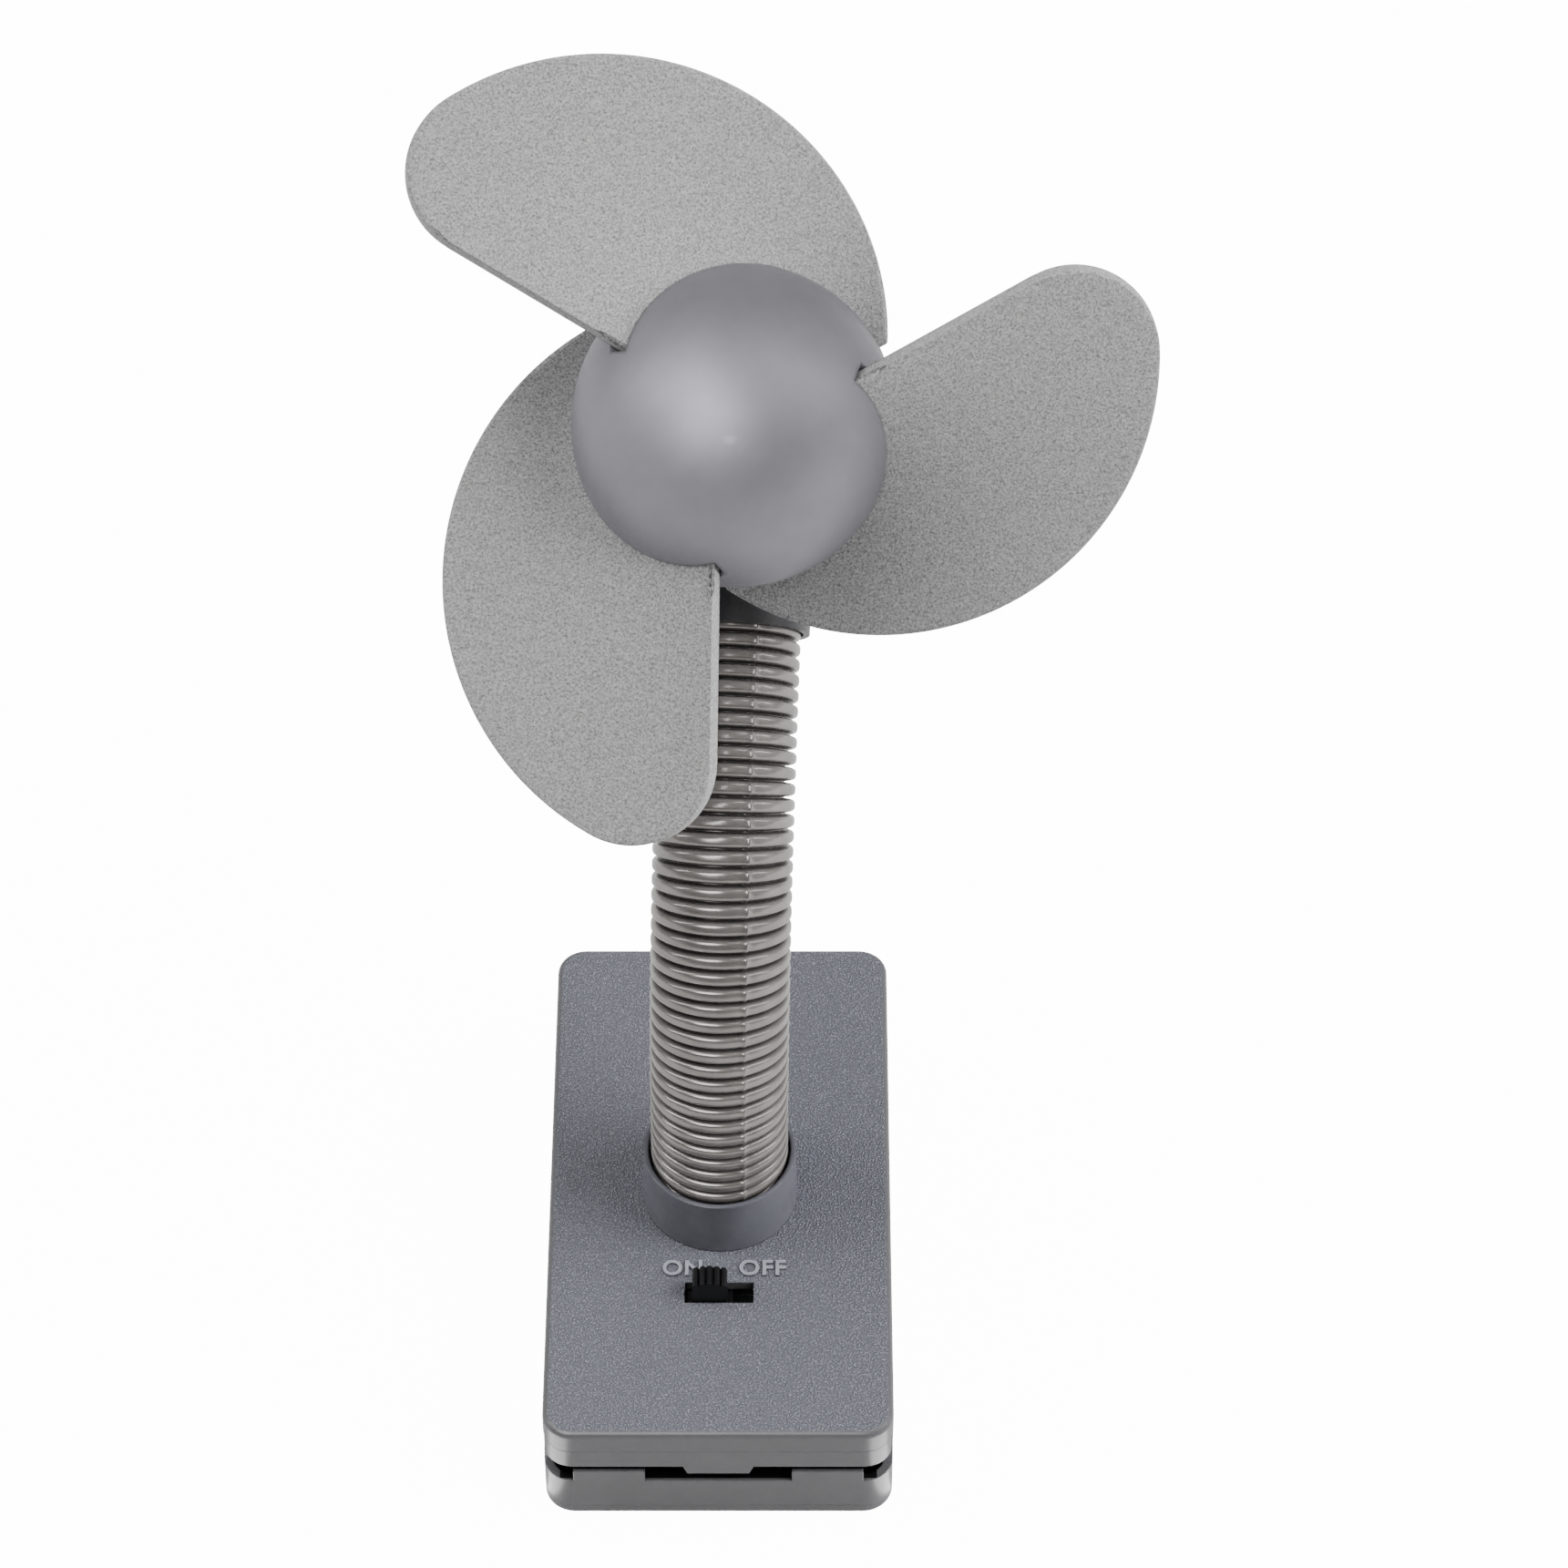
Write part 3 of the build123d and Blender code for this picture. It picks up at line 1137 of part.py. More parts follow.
def make_blade(number):
    """A twisted foam blade: sections along the radius, and one along the trailing edge."""
    frame = blade_plane(number)
    with BuildPart() as blade:
        for angle in BLADE_ANGLES:
            reach = circle_reach(angle, BLADE_ARC if angle < TIP_START else BLADE_TIP)
            add(blade_section(frame, polar(BLADE_ROOT_R, angle), polar(reach, angle), BLADE_T))
        add(blade_section(frame, ROOT_CORNER, BLADE_END, BLADE_T))
        loft()
    return blade.part


def make_slot(number):
    """The helical slot that blade 1, 2 or 3 passes through in the dome."""
    frame = blade_plane(number)
    first, last = BLADE_START - SLOT_BEFORE, BLADE_CORNER_ANGLE + SLOT_AFTER
    with BuildPart() as slot:
        for step in range(13):
            angle = first + (last - first) * step / 12
            inner, outer = polar(BLADE_ROOT_R - 4, angle), polar(HUB_R + 2, angle)
            add(blade_section(frame, inner, outer, BLADE_T + 0.2))
        loft()
    return slot.part


for number in (1, 2, 3):
    save(make_blade(number), f"blade_{number}")

POST_R = 3.2

with BuildPart() as hub_dome:
    with BuildSketch(MERIDIAN):
        with BuildLine():
            Line((0, HUB_R), (0, HUB_R - HUB_WALL))
            RadiusArc((0, HUB_R - HUB_WALL), (HUB_R - HUB_WALL, 0), HUB_R - HUB_WALL)
            Polyline(
                (HUB_R - HUB_WALL, 0),
                (HUB_R - HUB_WALL, -HUB_SKIRT),
                (HUB_R, -HUB_SKIRT),
                (HUB_R, 0),
            )
            RadiusArc((HUB_R, 0), (0, HUB_R), -HUB_R)
        make_face()
    revolve(axis=SPIN_AXIS)
    with BuildSketch(HEAD.offset(HUB_R - 1)):
        Circle(POST_R)
    extrude(amount=-(HUB_R - 1 - SHAFT_FRONT - 0.4))
    for number in (1, 2, 3):
        add(make_slot(number), mode=Mode.SUBTRACT)
save(hub_dome.part, "hub_dome")

HUB_BACK_FRONT = -HUB_SKIRT + 0.2 + HUB_BACK_T

with BuildPart() as hub_back:
    with BuildSketch(HEAD.offset(HUB_BACK_FRONT)):
        Circle(HUB_R - HUB_WALL - FIT)
    extrude(amount=-HUB_BACK_T)
    with BuildSketch(HEAD.offset(HUB_BACK_FRONT)):
        Circle(HUB_BOSS_R)
    extrude(amount=SHAFT_FRONT - HUB_BACK_FRONT)
    with BuildSketch(HEAD.offset(SHAFT_FRONT)):
        Circle(SHAFT_R + FIT)
    extrude(amount=-HUB_SKIRT, mode=Mode.SUBTRACT)
save(hub_back.part, "hub_back")
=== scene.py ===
import json
import math

import bmesh
import bpy
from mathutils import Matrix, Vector


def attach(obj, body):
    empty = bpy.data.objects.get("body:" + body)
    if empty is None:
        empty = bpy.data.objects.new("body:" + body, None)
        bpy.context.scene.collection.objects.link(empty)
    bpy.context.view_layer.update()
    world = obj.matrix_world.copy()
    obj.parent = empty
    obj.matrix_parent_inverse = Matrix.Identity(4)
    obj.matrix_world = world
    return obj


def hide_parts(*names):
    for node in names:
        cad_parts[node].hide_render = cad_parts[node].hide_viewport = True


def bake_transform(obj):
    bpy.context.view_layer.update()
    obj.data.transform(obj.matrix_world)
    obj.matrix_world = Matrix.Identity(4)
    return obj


# The looks of the clip fan. Lengths are in metres, and MM turns millimetres into them.

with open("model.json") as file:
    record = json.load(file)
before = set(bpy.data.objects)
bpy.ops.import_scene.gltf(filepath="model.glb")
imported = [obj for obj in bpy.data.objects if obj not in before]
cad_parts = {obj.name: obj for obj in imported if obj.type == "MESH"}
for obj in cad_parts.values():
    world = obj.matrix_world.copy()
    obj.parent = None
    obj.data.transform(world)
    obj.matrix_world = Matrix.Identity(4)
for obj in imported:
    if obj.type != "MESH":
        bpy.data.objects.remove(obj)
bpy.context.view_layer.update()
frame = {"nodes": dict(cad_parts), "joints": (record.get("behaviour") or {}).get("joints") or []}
NODES = frame["nodes"]
MM = 0.001


def new_object(name, data):
    thing = bpy.data.objects.new(name, data)
    bpy.context.scene.collection.objects.link(thing)
    return thing


def joint(name):
    return next(entry for entry in frame["joints"] if entry["name"] == name)


# ---------------------------------------------------------------- camera

PHOTO_WIDTH = 1721  # pixels
FOCAL_LENGTH = 5950  # pixels
LOOKING_DOWN = 47.651  # degrees below the horizontal

camera = new_object("camera", bpy.data.cameras.new("camera"))
camera.location = (0.0105, -0.55284, 0.72552)
camera.rotation_euler = (math.radians(90 - LOOKING_DOWN), 0, 0)
camera.data.sensor_width = 36.0
camera.data.lens = camera.data.sensor_width * FOCAL_LENGTH / PHOTO_WIDTH
camera.data.clip_start = 0.01
camera.data.dof.use_dof = False
bpy.context.scene.camera = camera

# ---------------------------------------------------------------- shapes shared with the frame

PLATE_Z = 21.6
NECK_Y = -1.5
SLEEVE_Z = 28.9025  # lower end of the hose
RIB_PITCH = 2.465
RIBS_PER_LENGTH = 5
RIB_R = 11.2
GROOVE_R = 9.4
BORE_R = 8.4
NECK_TURNS = (5.0, 9.0, 8.5, 8.5, 10.5, 8.5, 4.0, 0.0)  # degrees that each length leans back
NECK_YAW = 2.6  # degrees that the bend is turned to the right
LENGTH_OF_NECK = RIB_PITCH * RIBS_PER_LENGTH

yaw = math.radians(NECK_YAW)
SIDE = Vector((math.cos(yaw), -math.sin(yaw), 0))
BACK = Vector((math.sin(yaw), math.cos(yaw), 0))
UP = Vector((0, 0, 1))

spin = joint("fan_spin")
HUB = Vector(spin["pos_m"]) / MM
FAN_AXIS = Vector(spin["axis"]).normalized()
HEAD_SIDE = FAN_AXIS.cross(UP).normalized() * -1
HEAD_UP = FAN_AXIS.cross(HEAD_SIDE)
ROTOR_TURN = 0.7  # degrees, where the rotor has stopped

BLADE_T = 3.4
BLADE_RISE = 78.0  # rise of the blade's surface in one turn
BLADE_START = 28.0  # where the root begins, in degrees round the axis
BLADE_CORNER_ANGLE = 142.6  # where it ends, at the trailing edge
BLADE_CORNER_H = 12.6  # height of that corner along the axis
BLADE_ROOT_R = 18.5
BLADE_ARC = (-19.8, 13.0, 43.0)  # the leading edge: centre and radius
TIP_R = 12.6
TIP_TURN = 122.3  # direction from the leading edge's centre to where the tip starts


def neck_station(s):
    """Point on the neck's centre line, and the direction of the neck there, in millimetres."""
    point, lean, left = Vector((0, NECK_Y, SLEEVE_Z)), 0.0, s
    for turn in NECK_TURNS:
        step = min(left, LENGTH_OF_NECK)
        turned = turn * step / LENGTH_OF_NECK
        middle, half = math.radians(lean + turned / 2), math.radians(turned) / 2
        chord = step * (math.sin(half) / half if half else 1.0)
        point = point + BACK * (chord * math.sin(middle)) + UP * (chord * math.cos(middle))
        lean += turned
        left -= step
        if left <= 0:
            break
    angle = math.radians(lean)
    return point, BACK * math.sin(angle) + UP * math.cos(angle)


# ---------------------------------------------------------------- materials


def new_material(name, colour, roughness, metallic=0.0):
    """A material with its nodes, its output shader and a helper position in millimetres."""
    material = bpy.data.materials.new(name)
    material.use_nodes = True
    tree = material.node_tree
    shader = tree.nodes["Principled BSDF"]
    shader.inputs["Base Color"].default_value = (*colour, 1)
    shader.inputs["Roughness"].default_value = roughness
    shader.inputs["Metallic"].default_value = metallic
    coords = tree.nodes.new("ShaderNodeTexCoord")
    scale = tree.nodes.new("ShaderNodeVectorMath")
    scale.operation = "SCALE"
    scale.inputs["Scale"].default_value = 1000.0
    tree.links.new(coords.outputs["Object"], scale.inputs[0])
    return material, tree, shader, scale.outputs[0]


def math_node(tree, operation, *values):
    """The output of a maths node; each value is a number or a socket."""
    node = tree.nodes.new("ShaderNodeMath")
    node.operation = operation
    for socket, value in zip(node.inputs, values):
        if isinstance(value, float):
            socket.default_value = value
        else:
            tree.links.new(value, socket)
    return node.outputs[0]


def split_xyz(tree, vector):
    node = tree.nodes.new("ShaderNodeSeparateXYZ")
    tree.links.new(vector, node.inputs[0])
    return node.outputs


def times(colour, share):
    return tuple(channel * share for channel in colour)


def noise(tree, position, per_mm, detail=2.0, rough=0.5):
    node = tree.nodes.new("ShaderNodeTexNoise")
    node.inputs["Scale"].default_value = per_mm
    node.inputs["Detail"].default_value = detail
    node.inputs["Roughness"].default_value = rough
    tree.links.new(position, node.inputs["Vector"])
    return node.outputs["Fac"]


def ramp(tree, value, stops):
    """Colour ramp from (place, grey or colour) pairs."""
    node = tree.nodes.new("ShaderNodeValToRGB")
    elements = node.color_ramp.elements
    while len(elements) < len(stops):
        elements.new(0.5)
    for element, (place, colour) in zip(elements, stops):
        element.position = place
        colour = colour if isinstance(colour, tuple) else (colour,) * 3
        element.color = (*colour, 1)
    tree.links.new(value, node.inputs["Fac"])
    return node.outputs["Color"]


def bump(tree, shader, height, distance_mm, strength=1.0, edge_mm=0.0):
    """Fine relief, and edges that catch the light as if they had a small round."""
    node = tree.nodes.new("ShaderNodeBump")
    node.inputs["Strength"].default_value = strength
    node.inputs["Distance"].default_value = distance_mm * MM
    tree.links.new(height, node.inputs["Height"])
    tree.links.new(node.outputs["Normal"], shader.inputs["Normal"])
    if edge_mm:
        edge = tree.nodes.new("ShaderNodeBevel")
        edge.samples = 6
        edge.inputs["Radius"].default_value = edge_mm * MM
        tree.links.new(edge.outputs["Normal"], node.inputs["Normal"])


def tinted(tree, shader, position, colour, spread, per_mm):
    """Base colour that drifts a little from place to place."""
    stops = [(0.35, times(colour, 1 - spread)), (0.65, times(colour, 1 + spread))]
    drift = noise(tree, position, per_mm, 3.0)
    tree.links.new(ramp(tree, drift, stops), shader.inputs["Base Color"])


def paint_seam_shade(tree, shader, reach_mm, depth, stops=(0.25, 0.8)):
    """Paints shade into the colour where another surface is very close, as in a groove or a joint.
    """
    near = tree.nodes.new("ShaderNodeAmbientOcclusion")
    near.samples = 12
    near.inputs["Distance"].default_value = reach_mm * MM
    shade = ramp(tree, near.outputs["AO"], [(stops[0], depth), (stops[1], 1.0)])
    base = shader.inputs["Base Color"]
    mix = tree.nodes.new("ShaderNodeMix")
    mix.data_type = "RGBA"
    mix.blend_type = "MULTIPLY"
    mix.inputs[0].default_value = 1.0
    tree.links.new(base.links[0].from_socket, mix.inputs[6])
    tree.links.new(shade, mix.inputs[7])
    tree.links.new(mix.outputs[2], base)


def plastic(name, colour, roughness, spread=0.05, metallic=0.0, seams=0.0, edge=0.0):
    """Moulded plastic; seams is the reach of the painted shade in its joints, edge the round of
    its edges.
    """
    material, tree, shader, position = new_material(name, colour, roughness, metallic)
    tinted(tree, shader, position, colour, spread, 0.15)
    bump(tree, shader, noise(tree, position, 4.0, 3.0), PLASTIC_GRAIN, edge_mm=edge)
    # Painted shade in the joints, where another part comes close.
    if seams:
        paint_seam_shade(tree, shader, seams, 0.12)
    return material


def in_box(tree, position, low, high):
    """1 inside the box and 0 outside it, in millimetres."""
    along_x, along_y, along_z = (
        math_node(tree, "COMPARE", place, (start + end) / 2, (end - start) / 2)
        for place, start, end in zip(split_xyz(tree, position), low, high)
    )
    return math_node(tree, "MULTIPLY", math_node(tree, "MULTIPLY", along_x, along_y), along_z)


def mixed(tree, share, first, second):
    """First colour where the share is 0, second where it is 1; each a socket or a colour."""
    mix = tree.nodes.new("ShaderNodeMix")
    mix.data_type = "RGBA"
    tree.links.new(share, mix.inputs[0])
    for socket, colour in ((mix.inputs[6], first), (mix.inputs[7], second)):
        if isinstance(colour, tuple):
            socket.default_value = (*colour, 1)
        else:
            tree.links.new(colour, socket)
    return mix.outputs[2]


def jaw_plastic():
    """The case's plastic, with painted shade, nearly black, in the depth of the clip's mouth."""
    material = plastic("jaw", **CASE_FINISH)
    tree = material.node_tree
    base = tree.nodes["Principled BSDF"].inputs["Base Color"]
    position = next(n for n in tree.nodes if n.bl_idname == "ShaderNodeVectorMath").outputs[0]
    # Painted shade: the mouth's inside is coloured nearly black, where the clip lies in deep
    # shadow.
    mouth = in_box(tree, position, (-25.4, -50.2, 7.4), (25.4, 12.0, 12.0))
    tree.links.new(mixed(tree, mouth, base.links[0].from_socket, (0.003, 0.003, 0.003)), base)
    return material


def pebbled_plastic():
    """Fine leather-like grain on the flat top, with painted glints on the pebbles and painted
    shade between them, and the case's smooth grey on the sides.
    """
    material, tree, shader, position = new_material("plate", PLATE_GREY, 0.33)
    cells = tree.nodes.new("ShaderNodeTexVoronoi")
    cells.feature = "SMOOTH_F1"
    cells.inputs["Scale"].default_value = 2.75
    cells.inputs["Smoothness"].default_value = 0.3
    tree.links.new(position, cells.inputs["Vector"])
    facing = tree.nodes.new("ShaderNodeNewGeometry").outputs["True Normal"]
    top = ramp(tree, split_xyz(tree, facing)["Z"], [(0.96, 0.0), (0.99, 1.0)])
    pebbles = ramp(tree, cells.outputs["Distance"], [(0.12, 1.0), (0.60, 0.0)])
    bump(tree, shader, mixed(tree, top, (0, 0, 0), pebbles), 0.22, edge_mm=0.3)
    # Painted light: the pebbles' tops paler as glints, the hollows between them darker as shade.
    stops = [(0.12, times(PLATE_GREY, 2.5)), (0.29, PLATE_GREY), (0.60, times(PLATE_GREY, 0.66))]
    pebble_glints_and_shade = ramp(tree, cells.outputs["Distance"], stops)
    tree.links.new(mixed(tree, top, CASE_GREY, pebble_glints_and_shade), shader.inputs["Base Color"])
    # Painted shade where other parts stand close to the plate.
    paint_seam_shade(tree, shader, 0.4, 0.4)
    return material


def foam():
    """Closed-cell foam: matt, with fine dark and light specks."""
    colour = (0.33, 0.33, 0.33)
    material, tree, shader, position = new_material("foam", colour, 0.95)
    specks = noise(tree, position, 3.0, 4.0, 0.8)
    stops = [(0.38, times(colour, 0.45)), (0.50, colour), (0.62, times(colour, 1.50))]
    tree.links.new(ramp(tree, specks, stops), shader.inputs["Base Color"])
    bump(tree, shader, noise(tree, position, 3.2, 3.0, 0.7), 0.07, 0.7)
    shader.inputs["Sheen Weight"].default_value = 0.15
    shader.inputs["Sheen Roughness"].default_value = 0.6
    shader.inputs["Specular IOR Level"].default_value = 0.25
    return material


def hose_plastic():
    """Pearly silver-grey plastic with a fine sparkling grain, and painted shade in the grooves
    between the ribs.
    """
    colour = (0.24, 0.226, 0.215)
    material, tree, shader, position = new_material("hose", colour, 0.22, 0.5)
    tinted(tree, shader, position, colour, 0.10, 0.2)
    # Painted shade in the narrow grooves.
    paint_seam_shade(tree, shader, 1.1, 0.45, (0.25, 0.85))
    bump(tree, shader, noise(tree, position, 6.0, 3.0, 0.7), 0.006, 0.8)
    return material


PLATE_GREY = (0.168, 0.174, 0.205)
CASE_GREY = (0.104, 0.103, 0.110)
# The seams value paints shade into the joints of the case, its covers and the jaw.
CASE_FINISH = {"colour": CASE_GREY, "roughness": 0.30, "seams": 1.2, "edge": 0.35}
PLASTIC_GRAIN = 0.004  # relief of the moulded surfaces
PLATE = pebbled_plastic()
CASE = plastic("case", **CASE_FINISH)
JAW = jaw_plastic()
COLLAR = plastic("collar", (0.116, 0.118, 0.138), 0.26, edge=0.5)
# The dome's seams value paints shade where the blades go into it.
DOME = plastic("dome", (0.245, 0.24, 0.268), 0.54, spread=0.03, metallic=0.8, seams=0.9, edge=0.8)
BLACK = plastic("black", (0.004, 0.004, 0.005), 0.42, edge=0.12)
BLACK.node_tree.nodes["Principled BSDF"].inputs["Specular IOR Level"].default_value = 0.3
DARK = plastic("dark_housing", (0.030, 0.030, 0.033), 0.40)
FOAM = foam()
HOSE = hose_plastic()


def metal(name, colour, roughness):
    """Bare metal with a faint drift of colour and a fine grain."""
    material, tree, shader, position = new_material(name, colour, roughness, 1.0)
    tinted(tree, shader, position, colour, 0.06, 0.8)
    bump(tree, shader, noise(tree, position, 6.0, 2.0), 0.01, 0.5)
    return material


STEEL = metal("steel", (0.55, 0.55, 0.56), 0.3)
NICKEL = metal("nickel", (0.66, 0.64, 0.58), 0.25)
CORE = plastic("core_jacket", (0.03, 0.03, 0.03), 0.5)
CELL = plastic("cell_wrapper", (0.10, 0.12, 0.16), 0.3)
WIRE_RED = plastic("wire_red", (0.35, 0.02, 0.02), 0.4)
MAGNET = plastic("magnet", (0.02, 0.02, 0.022), 0.5)

FINISHES = {
    PLATE: ["top_cover"],
    CASE: ["case_bottom", "jaw_cover", "battery_door"],
    JAW: ["lower_jaw"],
    COLLAR: ["neck_collar"],
    DOME: ["hub_dome", "hub_back"],
    BLACK: ["switch_knob", "switch_body"],
    DARK: ["motor_housing", "housing_cap", "neck_socket_plug", "neck_anchor", "motor_end_cap"],
    STEEL: ["case_screws", "battery_door_screw", "hinge_pins", "jaw_springs", "housing_screws"]
    + ["motor_can", "motor_armature", "motor_shaft", "neck_nut"],
    NICKEL: ["contact_spring", "contact_plate", "contact_bridge", "switch_terminals"]
    + ["motor_terminals"],
    CORE: [f"neck_core_{number}" for number in range(9)],
    CELL: ["battery_cell_left", "battery_cell_right"],
    WIRE_RED: ["lead_battery_to_switch", "lead_switch_to_neck", "lead_battery_to_neck"]
    + ["motor_leads"],
    MAGNET: ["motor_magnets"],
}
for material, names in FINISHES.items():
    for name in names:
        NODES[name].data.materials.clear()
        NODES[name].data.materials.append(material)

# ---------------------------------------------------------------- meshes


def new_piece(name, points, faces, material):
    """A smooth-shaded mesh object from points in millimetres."""
    mesh = bpy.data.meshes.new(name)
    mesh.from_pydata([tuple(point * MM) for point in points], [], faces)
    mesh.update()
    mesh.materials.append(material)
    for polygon in mesh.polygons:
        polygon.use_smooth = True
    return new_object(name, mesh)


def circle(centre, first, second, radius, around):
    """Points round the centre, from the first direction towards the second."""
    turns = (2 * math.pi * i / around for i in range(around))
    return [centre + (first * math.cos(a) + second * math.sin(a)) * radius for a in turns]


def rings_to_faces(rings, around, closed):
    """Quads between rings of points; a closed run also joins the last ring to the first."""
    faces = []
    for ring in range(rings if closed else rings - 1):
        upper = (ring + 1) % rings
        for i in range(around):
            j = (i + 1) % around
            low, high = ring * around, upper * around
            faces.append((low + i, low + j, high + j, high + i))
    return faces


# ---------------------------------------------------------------- ribbed hose

SEAM = math.radians(294)  # the mould's seam, a little to the right of the front
SEAMS = (SEAM, SEAM - math.pi)
SEAM_RISE = 0.26
SEAM_WIDTH = 0.024  # radians
HOSE_AROUND = 84
RIB_STEPS = 18
CREST_SHARE = 0.90  # of a rib's step, the rest is the groove's floor


def hose_angles():
    """Angles round the hose, closer together at the two mould seams."""
    angles = [2 * math.pi * i / HOSE_AROUND for i in range(HOSE_AROUND)]
    for seam in SEAMS:
        near = [seam + offset for offset in (-0.035, -0.018, 0.0, 0.018, 0.035)]
        angles = [a for a in angles if min(abs(a - n) for n in near) > 0.02] + near
    return sorted(angles)


def rib_radius(share):
    """A flat crest with round shoulders, between narrow grooves."""
    from_middle = min(1.0, abs(2 * share - 1) / CREST_SHARE)
    return GROOVE_R + (RIB_R - GROOVE_R) * (1 - from_middle**3.6) ** 0.45


def hose_piece(number):
    """One length of the hose: ribbed outside with the seams' ridges, plain inside."""
    start = (number - 1) * LENGTH_OF_NECK
    angles = hose_angles()
    stations = []
    for rib in range(RIBS_PER_LENGTH):
        for step in range(RIB_STEPS):
            share = 0.5 - 0.5 * math.cos(math.pi * step / RIB_STEPS)
            stations.append((start + (rib + share) * RIB_PITCH, rib_radius(share), True))
    stations.append((start + LENGTH_OF_NECK, GROOVE_R, True))
    for rib in range(RIBS_PER_LENGTH, -1, -1):
        stations.append((start + rib * RIB_PITCH, BORE_R, False))
    points = []
    for station, radius, outside in stations:
        centre, along = neck_station(station)
        across = along.cross(SIDE)
        for angle in angles:
            reach = radius
            if outside:
                for seam in SEAMS:
                    reach += SEAM_RISE * math.exp(-(((angle - seam) / SEAM_WIDTH) ** 2))
            points.append(centre + (SIDE * math.cos(angle) + across * math.sin(angle)) * reach)
    faces = rings_to_faces(len(stations), len(angles), True)
    piece = new_piece(f"hose_{number}", points, faces, HOSE)
    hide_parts(f"neck_sleeve_{number}")
    neck_station(start)[0] * MM
    neck_station(start + LENGTH_OF_NECK)[0] * MM
    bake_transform(piece)


for number in range(1, 9):
    hose_piece(number)

# ---------------------------------------------------------------- blades


def polar(radius, degrees):
    return radius * math.cos(math.radians(degrees)), radius * math.sin(math.radians(degrees))


def from_point(point, radius, degrees):
    x, y = polar(radius, degrees)
    return point[0] + x, point[1] + y


def direction(start, end):
    return math.degrees(math.atan2(end[1] - start[1], end[0] - start[0]))


ROOT_CORNER = polar(BLADE_ROOT_R, BLADE_CORNER_ANGLE)
TIP_CENTRE = from_point(BLADE_ARC, BLADE_ARC[2] - TIP_R, TIP_TURN)
# The straight trailing edge runs from the root's corner to where it touches the tip.
TRAILING = direction(ROOT_CORNER, TIP_CENTRE) + math.degrees(
    math.asin(TIP_R / math.dist(ROOT_CORNER, TIP_CENTRE))
)


def arc_start():
    """The leading edge's own angle at the start of the blade."""
    x, y = polar(1.0, BLADE_START)
    along = BLADE_ARC[0] * x + BLADE_ARC[1] * y
    reach = along + math.sqrt(BLADE_ARC[2] ** 2 - BLADE_ARC[0] ** 2 - BLADE_ARC[1] ** 2 + along**2)
    return direction(BLADE_ARC, (reach * x, reach * y))


def outline_point(share):
    """Point on the blade's outline: first the leading edge, then round the tip."""
    if share < TIP_SHARE:
        first = arc_start()
        return from_point(BLADE_ARC, BLADE_ARC[2], first + (TIP_TURN - first) * share / TIP_SHARE)
    share = (share - TIP_SHARE) / (1 - TIP_SHARE)
    return from_point(TIP_CENTRE, TIP_R, TIP_TURN + (TRAILING + 90 - TIP_TURN) * share)


def on_blade(x, y):
    """Point on the middle surface, which rises round the fan axis."""
    turn = direction((0, 0), (x, y)) - BLADE_CORNER_ANGLE
    return Vector((x, y, BLADE_CORNER_H + BLADE_RISE * turn / 360))


def in_rotor(point, number):
    turn = math.radians(ROTOR_TURN - 120.0 * (number - 1))
    u = point.x * math.cos(turn) - point.y * math.sin(turn)
    v = point.x * math.sin(turn) + point.y * math.cos(turn)
    return HUB + HEAD_SIDE * u + HEAD_UP * v + FAN_AXIS * point.z


TIP_SHARE = 0.72  # of the outline, up to where the tip starts
ALONG = 96  # steps along the outline
OUT = 26  # steps from the root to the outline
BLADE_EDGE = 0.45
FACE_ORDER = Vector((0.61, 0.53, 0.59))  # any slanted direction keeps the order the same each run


def blade_sides(number):
    """Points on the front and on the rear of the foam, row by row from root to outline."""
    front, rear = [], []
    last_turn = direction((0, 0), outline_point(1.0)) - BLADE_START
    for i in range(ALONG + 1):
        outline = outline_point(i / ALONG)
        turn = (direction((0, 0), outline) - BLADE_START) / last_turn
        root = polar(BLADE_ROOT_R, BLADE_START + (BLADE_CORNER_ANGLE - BLADE_START) * turn)
        inner, outer = on_blade(*root), on_blade(*outline)
        middle = (inner + outer) / 2
        radius = math.hypot(middle.x, middle.y)
        slope = BLADE_RISE / (2 * math.pi * radius)
        rising = Vector((-middle.y / radius, middle.x / radius, slope))
        half = (outer - inner).cross(rising).normalized() * (BLADE_T / 2)
        for j in range(OUT + 1):
            point = inner.lerp(outer, j / OUT)
            front.append(in_rotor(point + half, number))
            rear.append(in_rotor(point - half, number))
    return front, rear


def blade_faces():
    """Quads on both sides and round the rim."""
    row = OUT + 1
    count = row * (ALONG + 1)
    faces = []
    for i in range(ALONG):
        for j in range(OUT):
            a, b, c, d = i * row + j, i * row + j + 1, (i + 1) * row + j + 1, (i + 1) * row + j
            faces.append((a, b, c, d))
            faces.append((a + count, d + count, c + count, b + count))
    rim = [i * row + OUT for i in range(ALONG + 1)]
    rim += [ALONG * row + j for j in range(OUT - 1, -1, -1)]
    rim += [i * row for i in range(ALONG - 1, -1, -1)]
    rim += list(range(1, OUT))
    for k, a in enumerate(rim):
        b = rim[(k + 1) % len(rim)]
        faces.append((a, a + count, b + count, b))
    return faces


